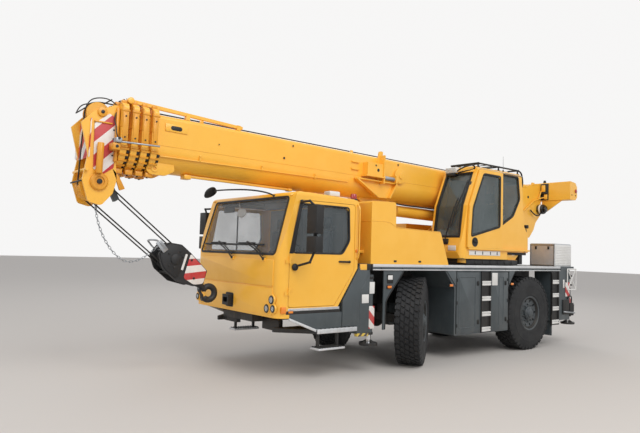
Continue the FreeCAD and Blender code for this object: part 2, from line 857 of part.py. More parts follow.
def crane_door():
    y_low = crane_cab_outer_y + crane_door_gap
    floor = turntable_top
    front = crane_cab_front
    rear = crane_door_rear
    top = crane_cab_top
    corners = [(front - 110, crane_door_low, 20), (rear, crane_door_low, 30), (rear + 10, top - 55, 40),
               (front - 480, top - 55, 40), (front - 165, floor + 1000, 0), (front - 120, floor + 470, 0)]
    window = [(front - 230, floor + 432, 50), (rear + 113, floor + 644, 60), (rear + 113, top - 150, 50),
              (front - 575, top - 150, 50), (front - 270, floor + 970, 0)]
    panel = side_prism(corners, y_low, y_low + crane_door_thickness)
    return panel.cut(side_prism(window, y_low - 5, y_low + crane_door_thickness + 5))


def crane_seat():
    floor = turntable_top + crane_cab_wall
    y = (crane_cab_inner_y + crane_cab_outer_y) / 2
    arm_outer = (crane_cab_outer_y - crane_cab_inner_y) / 2 - crane_cab_wall - 50
    arm_inner = arm_outer - 100
    cushion_z = floor + 460
    arm_z = floor + 690
    pieces = [
        block((-2750, -2250), (y - arm_inner, y + arm_inner), (floor, cushion_z)),
        side_prism([(-2750, cushion_z, 0), (-2640, cushion_z, 0), (-2760, floor + 1230, 40),
                    (-2860, floor + 1230, 40)], y - arm_inner - 10, y + arm_inner + 10),
        block((-2700, -2150), (y - arm_outer, y - arm_inner), (floor, arm_z)),
        block((-2700, -2150), (y + arm_inner, y + arm_outer), (floor, arm_z)),
    ]
    return fused(pieces)


def hydraulic_cabinet():
    outer = -body_half_width + 170
    inner = -crane_cab_inner_y
    return plan_prism([(-1650, inner, 0), (-3250, inner, 0), (-3250, outer, 80), (-1650, outer, 80)],
                      turntable_top, turntable_top + 690)


# Boom

def boom_profile(inset):
    width = boom_width / 2 - inset
    top = boom_top - inset
    low = boom_top - boom_height + inset
    scale = width / (boom_width / 2)
    belly = width * 0.98
    corner = boom_corner * scale
    return [(width, top, corner), (-width, top, corner), (-width, low, belly), (width, low, belly)]


def section_inset(number):
    return number * (boom_wall + section_clearance)


def boom_section(number):
    inset = section_inset(number)
    rear = base_rear + number * section_rear_step
    front = base_front + number * collar_pitch
    outer = front_prism(boom_profile(inset), rear, front)
    collar = front_prism(boom_profile(-collar_margin), front - collar_length, front)
    hollow = front_prism(boom_profile(inset + boom_wall), rear - 1, front + 1)
    pieces = [outer, collar]
    shape = fused(pieces).cut(hollow)
    if number == 3:
        return shape
    pads = []
    gap = section_clearance - pad_fit
    wall_y = boom_width / 2 - inset - boom_wall
    roof_z = boom_top - inset - boom_wall
    straight_low = roof_z - 330
    for side in (-1, 1):
        y_range = sorted((side * wall_y, side * (wall_y - gap)))
        pads.append(block((front - 240, front - 40), y_range, (straight_low, straight_low + 180)))
    pads.append(block((front - 240, front - 40), (-120, 120), (roof_z - gap, roof_z)))
    return fused([shape] + pads)


def boom_fittings():
    # Folding bracket for the jib beside the luffing eye, then the square tube over the collars
    side = boom_width / 2
    face = side - 2
    x = cylinder_eye_x
    low = boom_top - boom_height
    fin = [(x + 150, low + 280, 0), (x + 160, low + 620, 0), (x + 105, low + 885, 20),
           (x + 20, low + 890, 20), (x + 20, low + 280, 0)]
    pieces = [
        block((x + 80, x + 480), (face, side + 130), (low + 400, low + 630)),
        block((x + 60, x + 520), (face, side + 160), (low + 375, low + 401)),
        side_prism(fin, face, side + 30),
        block((x + 65, x + 95), (face, side + 150), (low + 280, low + 800)),
        block((x - 270, x - 230), (face, side + 150), (low + 320, low + 460)),
        bar_x(side + 100, low + 392, 36, x - 240, x + 70),
        bar_y(x - 455, low + 490, 150, face, side + 40),
    ]
    tube_rear = base_front - 1460
    tube_front = base_front + 290
    tube = [(tube_rear, boom_top + 18, 0), (tube_front, boom_top + 85, 0), (tube_front, boom_top + 135, 0),
            (tube_rear, boom_top + 62, 0)]
    pieces.append(side_prism(tube, 215, 262))
    for foot_x in (tube_rear + 70, tube_rear + 910):
        pieces.append(block((foot_x - 30, foot_x + 30), (205, 272), (boom_top - 5, boom_top + 70)))
    return pieces


def boom_base():
    tube = boom_section(0)
    wall_y = boom_width / 2
    ear_outer = cheek_inner - 15
    ear = [(-3350, 3480, 60), (-4250, 3470, 150), (-4460, 3300, 150), (-4250, 3130, 150), (-3350, 2960, 60)]
    pieces = [tube]
    for side in (-1, 1):
        y_range = sorted((side * (wall_y - boom_wall), side * ear_outer))
        pieces.append(side_prism(ear, y_range[0], y_range[1]))
    eye_x, eye_z = cylinder_eye_x, cylinder_eye_z
    low = boom_top - boom_height
    seat = low + boom_wall + 10
    lug = [(eye_x + 420, seat, 0), (eye_x + 90, eye_z - cylinder_lug_drop, 80),
           (eye_x - 110, eye_z - cylinder_lug_drop, 80),
           (eye_x - 420, seat, 0)]
    lug_low = cylinder_rod_radius + cylinder_lug_gap
    for side in (-1, 1):
        y_range = sorted((side * lug_low, side * (lug_low + 40)))
        pieces.append(side_prism(lug, y_range[0], y_range[1]))
    bracket = [(eye_x + 700, 3120, 0), (eye_x - 330, 3120, 0), (eye_x - 160, low + 40, 60),
               (eye_x + 150, low + 30, 60)]
    for side in (-1, 1):
        y_range = sorted((side * (wall_y - 2), side * (wall_y + 28)))
        pieces.append(side_prism(bracket, y_range[0], y_range[1]))
    shape = fused(pieces + boom_fittings())
    hole = bar_y(boom_pivot_x, boom_pivot_z, boom_pin_radius + running_fit, -cheek_inner, cheek_inner)
    eye_hole = bar_y(eye_x, eye_z, luff_eye_bore, -lug_low - 60, lug_low + 60)
    return shape.cut(hole).cut(eye_hole)


def sheave_pack(x, z, radius, pitch, count, width):
    pieces = []
    for n in range(count):
        y = (n - (count - 1) / 2) * pitch
        for edge in (-1, 1):
            rim_range = sorted((y + edge * width / 2, y + edge * (width / 2 - 8)))
            pieces.append(bar_y(x, z, radius, rim_range[0], rim_range[1]))
        pieces.append(bar_y(x, z, radius - groove_depth, y - width / 2, y + width / 2))
    return fused(pieces)


def boom_head():
    start = base_front + 3 * collar_pitch
    reach = head_reach
    cheek = [(start, 3600, 0), (reach - 410, 3600, 40), (reach - 350, 3560, 0), (reach - 150, 3470, 60),
             (reach, boom_pivot_z, 0), (reach - 110, 2900, 60), (reach - 60, 2560, 80),
             (reach - 150, 2290, 60), (reach - 320, 2250, 60),
             (reach - 460, 2420, 60), (reach - 500, 2600, 60), (start, 2790, 0)]
    left = side_prism(cheek, head_cheek_inner, head_cheek_outer)
    pieces = [left, mirrored(left)]
    inner = head_cheek_inner
    pieces.append(block((start, start + 40), (-inner, inner), (2790, 3600)))
    pieces.append(block((start, reach - 350), (-inner, inner), (2820, 2860)))
    pieces.append(block((reach - 165, reach - 125), (-inner, inner), (2880, 3300)))
    pieces.append(bar_y(top_sheave_x, top_sheave_z, 40, -inner, inner))
    pieces.append(bar_y(low_sheave_x, low_sheave_z, 40, -inner, inner))
    pieces.append(bar_y(reach - 100, 2700, 22, -inner - 90, inner + 90))
    return pieces


def oriented(shape, angle):
    turned = shape.copy()
    turned.rotate(V(0, 0, 0), V(0, 1, 0), angle)
    turned.translate(V(block_x, 0, block_z))
    return turned


def rope_direction():
    head_x, head_z = tilted_point(low_sheave_x, low_sheave_z)
    along = V(block_x - head_x, 0, block_z - head_z)
    return along.normalize(), V(head_x, 0, head_z)


def hook_block():
    # Drawn hanging straight down from its sheave axle, then swung towards the tow coupling
    side_x, foot = block_cheek_half, -block_length
    drop = block_hook_distance
    cheek = [(-side_x, 60, 60), (-110, 245, 60), (110, 245, 60), (side_x, 60, 60), (side_x + 5, -230, 60),
             (120, -470, 40), (0, foot, 20), (-190, foot + 80, 30), (-side_x, -130, 60)]
    half = block_half_width
    bar_low = -420
    pieces = [sheave_pack(0, 0, block_sheave_radius, rope_spacing, sheave_count, sheave_width)]
    pieces.append(bar_y(0, 0, 45, -half, half))
    for side in (-1, 1):
        y_range = sorted((side * half, side * (half + 25)))
        pieces.append(side_prism(cheek, y_range[0], y_range[1]))
    pieces.append(block((-70, 70), (-half, half), (bar_low, bar_low + 90)))
    shank_low = -drop + 220
    pieces.append(bar_z(0, 0, hook_shank_radius, shank_low, bar_low + 90))
    pieces.append(bar_z(0, 0, hook_bar_radius, -drop + hook_radius - 12, shank_low + 20))
    ring = Part.makeTorus(hook_radius, hook_bar_radius, V(0, 0, -drop), V(0, 1, 0))
    mouth = block((20, 200), (-60, 60), (-drop + 5, -drop + 200))
    pieces.append(ring.cut(mouth))
    along, head = rope_direction()
    angle = math.degrees(math.atan2(-along.x, -along.z))
    return oriented(fused(pieces), angle)


def hoist_ropes():
    along, head = rope_direction()
    across = V(along.z, 0, -along.x)
    start_radius = low_sheave_radius - groove_depth + rope_radius + running_fit
    end_radius = block_sheave_radius - groove_depth + rope_radius + running_fit
    foot = V(block_x, 0, block_z)
    shapes = []
    outer_groove = (sheave_count - 1) / 2 * rope_spacing
    for groove_y in (-outer_groove, outer_groove):
        for side in (-1, 1):
            offset = V(0, groove_y, 0)
            start = head + across * (side * start_radius) + offset
            end = foot + across * (side * end_radius) + offset
            shapes.append(bar_between(start, end, rope_radius))
    return Part.makeCompound(shapes)


def luffing_cylinder():
    foot = V(cylinder_foot_x, 0, cylinder_foot_z)
    eye_x, eye_z = tilted_point(cylinder_eye_x, cylinder_eye_z)
    length = math.hypot(eye_x - foot.x, eye_z - foot.z)
    angle = math.degrees(math.atan2(eye_z - foot.z, eye_x - foot.x))
    barrel = fused([
        bar_y(0, 0, 120, -90, 90),
        bar_x(0, 0, cylinder_radius, 60, cylinder_barrel_length),
    ])
    barrel = barrel.cut(bar_x(0, 0, cylinder_rod_radius + slide_fit, 220, cylinder_barrel_length + 1))
    barrel = barrel.cut(bar_y(0, 0, cylinder_pin_radius + running_fit, -95, 95))
    rod = fused([
        bar_x(0, 0, cylinder_rod_radius, 260, length - 60),
        bar_y(length, 0, cylinder_eye_radius, -cylinder_eye_half_width, cylinder_eye_half_width),
    ])
    rod = rod.cut(bar_y(length, 0, luff_eye_bore, -cylinder_eye_half_width, cylinder_eye_half_width))
    for shape in (barrel, rod):
        shape.rotate(V(0, 0, 0), V(0, 1, 0), -angle)
        shape.translate(foot)
    return barrel, rod


# Outriggers

def outrigger_beam(side, x):
    low = tunnel_floor + slide_fit
    half = beam_width / 2
    beam = block((x - half, x + half), (-box_half_length, jack_y), (low, low + beam_height))
    tube = bar_z(x, jack_y, jack_radius, jack_low, jack_top)
    bore = bar_z(x, jack_y, jack_rod_radius + slide_fit, jack_low - 1, jack_top - 40)
    shape = fused([beam, tube]).cut(bore)
    return shape if side > 0 else mirrored(shape)


def outrigger_jack(side, x):
    rod = bar_z(x, jack_y, jack_rod_radius, jack_pad_low, jack_top - 60)
    pad = bar_z(x, jack_y, jack_pad_radius, jack_pad_low, jack_pad_low + jack_pad_thickness)
    shape = fused([rod, pad])
    return shape if side > 0 else mirrored(shape)


wheel_set()
for axle_name, axle_x in (("axle_front", front_axle_x), ("axle_rear", rear_axle_x)):
    save(axle_name, axle(axle_x))
save("chassis_frame", chassis_frame())
save("deck_plate", deck_plate())
save("slew_ring", slew_ring())
save("deck_rails", deck_rails())
save("side_locker_left", side_locker())
save("side_locker_right", mirrored(side_locker()))
save("corner_covers", corner_covers())
save("front_fenders", front_fenders())
save("running_board_left", running_board())
save("running_board_right", mirrored(running_board()))
save("toolbox", toolbox())
save("engine_block", engine_block())
save("engine_hood", engine_hood())

shell, glass, door = cab_parts()
hinge_heights = (1250.0, 1700.0)
door_pieces = [door]
for hinge_z in hinge_heights:
    pillar_half, door_half = hinge_barrels(hinge_z)
    shell = fused([shell, pillar_half, mirrored(pillar_half)])
    door_pieces.append(door_half)
save("cab_shell", shell)
save("cab_windscreen", glass)
cab_door = fused(door_pieces + mirror_set())
save("cab_door_left", cab_door)
save("cab_door_right", mirrored(cab_door))
save("cab_interior", cab_interior())
save("front_lamps", lamps())
save("tow_coupling", tow_coupling())

save("turntable_frame", turntable_frame())
save("hoist_winch", hoist_winch())
save("counterweight", counterweight())
upper_shell, upper_glass = crane_cab_parts()
save("crane_cab_shell", upper_shell)
save("crane_cab_glass", upper_glass)
save("crane_door", crane_door())
save("crane_seat", crane_seat())
save("hydraulic_cabinet", hydraulic_cabinet())

save("boom_base", tilted(boom_base()))
for section_number in (1, 2, 3):
    save("boom_section_%d" % section_number, tilted(boom_section(section_number)))
head_pieces = boom_head()
for x, z, radius, count in ((top_sheave_x, top_sheave_z, top_sheave_radius, 3),
                            (low_sheave_x, low_sheave_z, low_sheave_radius, sheave_count)):
    head_pieces.append(sheave_pack(x, z, radius, rope_spacing, count, sheave_width))
save("boom_head", tilted(fused(head_pieces)))
save("hook_block", hook_block())
save("hoist_ropes", hoist_ropes())
luff_barrel, luff_rod = luffing_cylinder()
save("luff_barrel", luff_barrel)
save("luff_rod", luff_rod)

for outrigger_name, outrigger_side, outrigger_x in outrigger_rows():
    save("outrigger_beam_" + outrigger_name, outrigger_beam(outrigger_side, outrigger_x))
    save("outrigger_jack_" + outrigger_name, outrigger_jack(outrigger_side, outrigger_x))
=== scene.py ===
import json
import math
import random

import bpy
from mathutils import Matrix, Vector


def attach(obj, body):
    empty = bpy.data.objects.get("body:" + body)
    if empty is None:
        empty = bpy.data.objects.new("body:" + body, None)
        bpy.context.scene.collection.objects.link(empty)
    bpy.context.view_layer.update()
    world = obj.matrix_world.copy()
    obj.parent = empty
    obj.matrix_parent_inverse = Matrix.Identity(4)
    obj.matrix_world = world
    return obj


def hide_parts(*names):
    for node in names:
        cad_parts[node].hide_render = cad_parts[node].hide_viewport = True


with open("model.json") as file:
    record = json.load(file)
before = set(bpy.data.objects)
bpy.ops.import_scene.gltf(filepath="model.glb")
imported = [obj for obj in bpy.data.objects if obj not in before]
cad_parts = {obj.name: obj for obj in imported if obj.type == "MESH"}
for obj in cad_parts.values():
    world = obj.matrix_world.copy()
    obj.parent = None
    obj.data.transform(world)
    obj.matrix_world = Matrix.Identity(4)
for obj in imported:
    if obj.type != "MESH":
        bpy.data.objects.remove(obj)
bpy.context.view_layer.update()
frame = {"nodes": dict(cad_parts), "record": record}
random.seed(7)
print("frame loaded:", len(frame["nodes"]), "nodes")

# Pieces are drawn with X measured from the front axle, and boom pieces with the boom level;
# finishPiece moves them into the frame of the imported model
stations = {
    "shift": 0.310583,
    "boomPinX": -4.3,
    "boomPinZ": 3.3,
    "boomTilt": 0.9,
}


# Shared modelling helpers, all on Blender's own operators

def clearSelection():
    if bpy.context.mode != "OBJECT":
        bpy.ops.object.mode_set(mode="OBJECT")
    bpy.ops.object.select_all(action="DESELECT")


def pickPiece(piece):
    clearSelection()
    piece.select_set(True)
    bpy.context.view_layer.objects.active = piece


def newPiece(name):
    piece = bpy.context.active_object
    piece.name = name
    piece.data.name = name
    return piece


def settlePlace(piece):
    pickPiece(piece)
    bpy.ops.object.transform_apply(location=True, rotation=True, scale=True)
    return piece


def applyModifier(piece, kind, **settings):
    pickPiece(piece)
    modifier = piece.modifiers.new(kind.title(), kind)
    for key, value in settings.items():
        setattr(modifier, key, value)
    bpy.ops.object.modifier_apply(modifier=modifier.name)
    return piece


def softenEdges(piece, width, segments=2, angle=30):
    return applyModifier(piece, "BEVEL", width=width, segments=segments, limit_method="ANGLE",
                         angle_limit=math.radians(angle), use_clamp_overlap=True)


def recalcNormals(piece):
    pickPiece(piece)
    bpy.ops.object.mode_set(mode="EDIT")
    bpy.ops.mesh.select_all(action="SELECT")
    bpy.ops.mesh.remove_doubles(threshold=0.00005)
    bpy.ops.mesh.normals_make_consistent(inside=False)
    bpy.ops.object.mode_set(mode="OBJECT")
    return piece


def addBlock(name, x, y, z, bevel=0.0, segments=2):
    clearSelection()
    spans = [(min(span), max(span)) for span in (x, y, z)]
    middle = [(low + high) / 2 for low, high in spans]
    size = [high - low for low, high in spans]
    bpy.ops.mesh.primitive_cube_add(size=1, location=middle, scale=size)
    piece = settlePlace(newPiece(name))
    if bevel:
        softenEdges(piece, bevel, segments)
    return piece


def addPlate(name, corners, axis, low, high, rounding=0.0, bevel=0.0, segments=4):
    # corners are (x, z) for axis y, (y, z) for axis x and (x, y) for axis z
    clearSelection()
    bpy.ops.mesh.primitive_circle_add(vertices=len(corners), radius=1, fill_type="NGON")
    piece = newPiece(name)
    for vertex, (a, b) in zip(piece.data.vertices, corners):
        vertex.co = {"x": (low, a, b), "y": (a, low, b), "z": (a, b, low)}[axis]
    travel = {"x": (high - low, 0, 0), "y": (0, high - low, 0), "z": (0, 0, high - low)}[axis]
    bpy.ops.object.mode_set(mode="EDIT")
    bpy.ops.mesh.select_all(action="SELECT")
    if rounding:
        bpy.ops.mesh.bevel(offset=rounding, offset_type="OFFSET", segments=segments, affect="VERTICES")
        bpy.ops.mesh.select_all(action="SELECT")
    bpy.ops.mesh.extrude_region_move(TRANSFORM_OT_translate={"value": travel})
    bpy.ops.mesh.select_all(action="SELECT")
    bpy.ops.mesh.normals_make_consistent(inside=False)
    bpy.ops.object.mode_set(mode="OBJECT")
    if bevel:
        softenEdges(piece, bevel)
    return piece


def addFrame(name, corners, axis, low, high, band, rounding=0.0, bevel=0.0, segments=4):
    # A flat band just inside the corners, as a gasket or a rim
    clearSelection()
    bpy.ops.mesh.primitive_circle_add(vertices=len(corners), radius=1, fill_type="NGON")
    piece = newPiece(name)
    for vertex, (a, b) in zip(piece.data.vertices, corners):
        vertex.co = {"x": (low, a, b), "y": (a, low, b), "z": (a, b, low)}[axis]
    travel = {"x": (high - low, 0, 0), "y": (0, high - low, 0), "z": (0, 0, high - low)}[axis]
    bpy.ops.object.mode_set(mode="EDIT")
    bpy.ops.mesh.select_all(action="SELECT")
    if rounding:
        bpy.ops.mesh.bevel(offset=rounding, offset_type="OFFSET", segments=segments, affect="VERTICES")
        bpy.ops.mesh.select_all(action="SELECT")
    bpy.ops.mesh.inset(thickness=band)
    bpy.ops.mesh.delete(type="FACE")
    bpy.ops.mesh.select_all(action="SELECT")
    bpy.ops.mesh.extrude_region_move(TRANSFORM_OT_translate={"value": travel})
    bpy.ops.mesh.select_all(action="SELECT")
    bpy.ops.mesh.normals_make_consistent(inside=False)
    bpy.ops.object.mode_set(mode="OBJECT")
    if bevel:
        softenEdges(piece, bevel)
    return piece


def addTube(name, start, end, radius, vertices=20, bevel=0.0, endRadius=None):
    clearSelection()
    start, end = Vector(start), Vector(end)
    run = end - start
    turn = run.to_track_quat("Z", "Y").to_euler()
    bpy.ops.mesh.primitive_cone_add(vertices=vertices, radius1=radius, radius2=endRadius or radius,
                                    depth=run.length, location=(start + end) / 2, rotation=turn)
    piece = settlePlace(newPiece(name))
    if bevel:
        softenEdges(piece, bevel, 2, 50)
    return piece


def addPath(name, points, radius, order=3, ringPoints=2, resolution=6, cyclic=False):
    # A bent tube along a smooth line through the given route
    clearSelection()
    bpy.ops.curve.primitive_nurbs_path_add()
    piece = newPiece(name)
    spline = piece.data.splines[0]
    if len(points) > len(spline.points):
        spline.points.add(len(points) - len(spline.points))
    while len(spline.points) > len(points):
        bpy.ops.object.mode_set(mode="EDIT")
        bpy.ops.curve.select_all(action="DESELECT")
        spline = piece.data.splines[0]
        spline.points[len(spline.points) - 1].select = True
        bpy.ops.curve.delete(type="VERT")
        bpy.ops.object.mode_set(mode="OBJECT")
        spline = piece.data.splines[0]
    for point, place in zip(spline.points, points):
        point.co = (*place, 1)
        point.radius = 1
    spline.order_u = order
    spline.use_endpoint_u = not cyclic
    spline.use_cyclic_u = cyclic
    spline.resolution_u = resolution
    piece.data.bevel_depth = radius
    piece.data.bevel_resolution = ringPoints
    piece.data.use_fill_caps = True
    pickPiece(piece)
    bpy.ops.object.convert(target="MESH")
    return recalcNormals(bpy.context.active_object)


def addTurned(name, profile, axis, centre, steps=48, closed=True):
    # profile rows are (radius, place along the axis); the outline is spun a whole turn
    clearSelection()
    bpy.ops.mesh.primitive_circle_add(vertices=len(profile), radius=1, fill_type="NOTHING")
    piece = newPiece(name)
    for vertex, (radius, along) in zip(piece.data.vertices, profile):
        offset = {"x": (along, 0, radius), "y": (radius, along, 0), "z": (radius, 0, along)}[axis]
        vertex.co = Vector(centre) + Vector(offset)
    bpy.ops.object.mode_set(mode="EDIT")
    bpy.ops.mesh.select_all(action="SELECT")
    if not closed:
        last = len(profile) - 1
        bpy.ops.mesh.select_all(action="DESELECT")
        bpy.ops.object.mode_set(mode="OBJECT")
        for edge in piece.data.edges:
            edge.select = set(edge.vertices) == {0, last}
        bpy.ops.object.mode_set(mode="EDIT")
        bpy.ops.mesh.select_mode(type="EDGE")
        bpy.ops.mesh.delete(type="EDGE_FACE")
        bpy.ops.mesh.select_mode(type="VERT")
        bpy.ops.mesh.select_all(action="SELECT")
    bpy.ops.mesh.spin(steps=steps, angle=math.tau, center=centre,
                      axis={"x": (1, 0, 0), "y": (0, 1, 0), "z": (0, 0, 1)}[axis])
    bpy.ops.object.mode_set(mode="OBJECT")
    return recalcNormals(piece)


def addBall(name, centre, radius, stretch=(1, 1, 1), segments=20):
    clearSelection()
    bpy.ops.mesh.primitive_uv_sphere_add(segments=segments, ring_count=segments // 2, radius=radius,
                                         location=centre, scale=stretch)
    return settlePlace(newPiece(name))


def copyPiece(piece, name, move=(0, 0, 0), turn=None):
    # turn is (degrees, axis letter, point it turns about)
    twin = piece.copy()
    twin.data = piece.data.copy()
    twin.name = name
    twin.data.name = name
    bpy.context.scene.collection.objects.link(twin)
    if turn:
        degrees, axis, centre = turn
        centre = Vector(centre)
        rotation = Matrix.Rotation(math.radians(degrees), 4, axis)
        twin.data.transform(Matrix.Translation(centre) @ rotation @ Matrix.Translation(-centre))
    twin.data.transform(Matrix.Translation(Vector(move)))
    return twin


def turnPiece(piece, degrees, axis, centre):
    centre = Vector(centre)
    rotation = Matrix.Rotation(math.radians(degrees), 4, axis)
    piece.data.transform(Matrix.Translation(centre) @ rotation @ Matrix.Translation(-centre))
    return piece


def mirrorPiece(piece, name):
    twin = copyPiece(piece, name)
    twin.data.transform(Matrix.Scale(-1, 4, (0, 1, 0)))
    pickPiece(twin)
    bpy.ops.object.mode_set(mode="EDIT")
    bpy.ops.mesh.select_all(action="SELECT")
    bpy.ops.mesh.flip_normals()
    bpy.ops.object.mode_set(mode="OBJECT")
    return twin


def joinPieces(name, pieces):
    clearSelection()
    for piece in pieces:
        piece.select_set(True)
    bpy.context.view_layer.objects.active = pieces[0]
    bpy.ops.object.join()
    return newPiece(name)


def finishPiece(piece, finish, body, smooth=35, onBoom=False):
    pickPiece(piece)
    if onBoom:
        turnPiece(piece, -stations["boomTilt"], "Y", (stations["boomPinX"], 0, stations["boomPinZ"]))
    piece.data.transform(Matrix.Translation((stations["shift"], 0, 0)))
    if smooth:
        bpy.ops.object.shade_smooth_by_angle(angle=math.radians(smooth))
    if finish is not None:
        piece.data.materials.clear()
        piece.data.materials.append(finish)
    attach(piece, body)
    return piece


def finishMany(rows, body, onBoom=False):
    # rows are (name, pieces, finish, slot)
    for name, pieces, finish, slot in rows:
        finishPiece(joinPieces(name, pieces), finish, body, onBoom=onBoom)


# Shader groups, each built once

def startGroup(name, inputs, outputs):
    group = bpy.data.node_groups.new(name, "ShaderNodeTree")
    kinds = {"value": "NodeSocketFloat", "colour": "NodeSocketColor", "vector": "NodeSocketVector"}
    for title, kind, start in inputs:
        socket = group.interface.new_socket(name=title, in_out="INPUT", socket_type=kinds[kind])
        if start is not None:
            socket.default_value = start
    for title, kind in outputs:
        group.interface.new_socket(name=title, in_out="OUTPUT", socket_type=kinds[kind])
    entry = group.nodes.new("NodeGroupInput")
    leave = group.nodes.new("NodeGroupOutput")
    return group, entry, leave


def addNode(tree, kind, **settings):
    node = tree.nodes.new(kind)
    for key, value in settings.items():
        if key.startswith("in_"):
            socket = key[3:]
            node.inputs[int(socket) if socket.isdigit() else socket.replace("_", " ")].default_value = value
        else:
            setattr(node, key, value)
    return node


def addNoise(tree, vector, scale, detail=4.0, roughness=0.6):
    noise = addNode(tree, "ShaderNodeTexNoise", in_Detail=detail, in_Roughness=roughness)
    if isinstance(scale, (int, float)):
        noise.inputs["Scale"].default_value = scale
    else:
        tree.links.new(scale, noise.inputs["Scale"])
    tree.links.new(vector, noise.inputs["Vector"])
    return noise


def addRange(tree, value, low, high, toLow=0.0, toHigh=1.0):
    node = addNode(tree, "ShaderNodeMapRange", interpolation_type="SMOOTHSTEP", in_From_Min=low,
                   in_From_Max=high, in_To_Min=toLow, in_To_Max=toHigh)
    tree.links.new(value, node.inputs["Value"])
    return node.outputs["Result"]


def addMath(tree, operation, first, second=None):
    node = addNode(tree, "ShaderNodeMath", operation=operation)
    for place, value in enumerate((first, second)):
        if value is None:
            continue
        if isinstance(value, (int, float)):
            node.inputs[place].default_value = value
        else:
            tree.links.new(value, node.inputs[place])
    return node.outputs[0]


def mixColour(tree, factor, first, second):
    node = addNode(tree, "ShaderNodeMix", data_type="RGBA")
    for socket, value in ((node.inputs[0], factor), (node.inputs[6], first), (node.inputs[7], second)):
        if isinstance(value, (int, float, tuple)):
            socket.default_value = value
        else:
            tree.links.new(value, socket)
    return node.outputs[2]


def buildGrainGroup():
    # Slow patches of shade, fine speckle and a fine height for bump
    group, entry, leave = startGroup("surfaceGrain", [("Patch scale", "value", 3.0), ("Fine scale", "value", 90.0)],
                                     [("Patches", "value"), ("Speckle", "value"), ("Height", "value")])
    place = addNode(group, "ShaderNodeTexCoord").outputs["Object"]
    patches = addNoise(group, place, entry.outputs["Patch scale"], 3.0)
    fine = addNoise(group, place, entry.outputs["Fine scale"], 5.0)
    group.links.new(addRange(group, patches.outputs["Fac"], 0.3, 0.7), leave.inputs["Patches"])
    group.links.new(addRange(group, fine.outputs["Fac"], 0.35, 0.65), leave.inputs["Speckle"])
    group.links.new(fine.outputs["Fac"], leave.inputs["Height"])
    return group


def buildEdgeGroup():
    # Softened corner normals, and a broken mask along the corners
    group, entry, leave = startGroup("edgeWear", [("Radius", "value", 0.006), ("Break scale", "value", 14.0)],
                                     [("Mask", "value"), ("Normal", "vector")])
    place = addNode(group, "ShaderNodeTexCoord").outputs["Object"]
    soft = addNode(group, "ShaderNodeBevel", samples=4)
    group.links.new(entry.outputs["Radius"], soft.inputs["Radius"])
    plain = addNode(group, "ShaderNodeNewGeometry")
    facing = addNode(group, "ShaderNodeVectorMath", operation="DOT_PRODUCT")
    group.links.new(soft.outputs["Normal"], facing.inputs[0])
    group.links.new(plain.outputs["Normal"], facing.inputs[1])
    corner = addRange(group, facing.outputs["Value"], 0.99, 0.86)
    breaks = addNoise(group, place, entry.outputs["Break scale"], 6.0)
    broken = addRange(group, breaks.outputs["Fac"], 0.45, 0.62)
    group.links.new(addMath(group, "MULTIPLY", corner, broken), leave.inputs["Mask"])
    group.links.new(soft.outputs["Normal"], leave.inputs["Normal"])
    return group


def buildDustGroup():
    # Road dust: more of it low down and on what faces up, in uneven runs
    group, entry, leave = startGroup("roadDust", [("Reach", "value", 1.6), ("Amount", "value", 0.5)],
                                     [("Mask", "value")])
    place = addNode(group, "ShaderNodeTexCoord").outputs["Object"]
    parts = addNode(group, "ShaderNodeSeparateXYZ")
    group.links.new(place, parts.inputs[0])
    share = addMath(group, "DIVIDE", parts.outputs["Z"], entry.outputs["Reach"])
    low = addRange(group, share, 1.0, 0.0)
    faces = addNode(group, "ShaderNodeNewGeometry")
    facing = addNode(group, "ShaderNodeSeparateXYZ")
    group.links.new(faces.outputs["Normal"], facing.inputs[0])
    upward = addRange(group, facing.outputs["Z"], 0.5, 1.0, 0.0, 0.6)
    smear = addNode(group, "ShaderNodeMapping", vector_type="POINT")
    smear.inputs["Scale"].default_value = (3.0, 3.0, 0.7)
    group.links.new(place, smear.inputs["Vector"])
    uneven = addNoise(group, smear.outputs["Vector"], 4.0, 6.0, 0.7)
    cloud = addRange(group, uneven.outputs["Fac"], 0.35, 0.75)
    total = addMath(group, "ADD", low, upward)
    masked = addMath(group, "MULTIPLY", total, cloud)
    clipped = addNode(group, "ShaderNodeMath", operation="MULTIPLY", use_clamp=True)
    group.links.new(masked, clipped.inputs[0])
    group.links.new(entry.outputs["Amount"], clipped.inputs[1])
    group.links.new(clipped.outputs[0], leave.inputs["Mask"])
    return group


groups = {"grain": buildGrainGroup(), "edge": buildEdgeGroup(), "dust": buildDustGroup()}


def placeGroup(tree, key, **values):
    node = tree.nodes.new("ShaderNodeGroup")
    node.node_tree = groups[key]
    for title, value in values.items():
        node.inputs[title.replace("_", " ")].default_value = value
    return node


def shade(red, green, blue):
    # A colour as a paint chart gives it, 0 to 255, made linear
    def linear(value):
        value = value / 255
        return value / 12.92 if value <= 0.04045 else ((value + 0.055) / 1.055) ** 2.4
    return (linear(red), linear(green), linear(blue), 1.0)


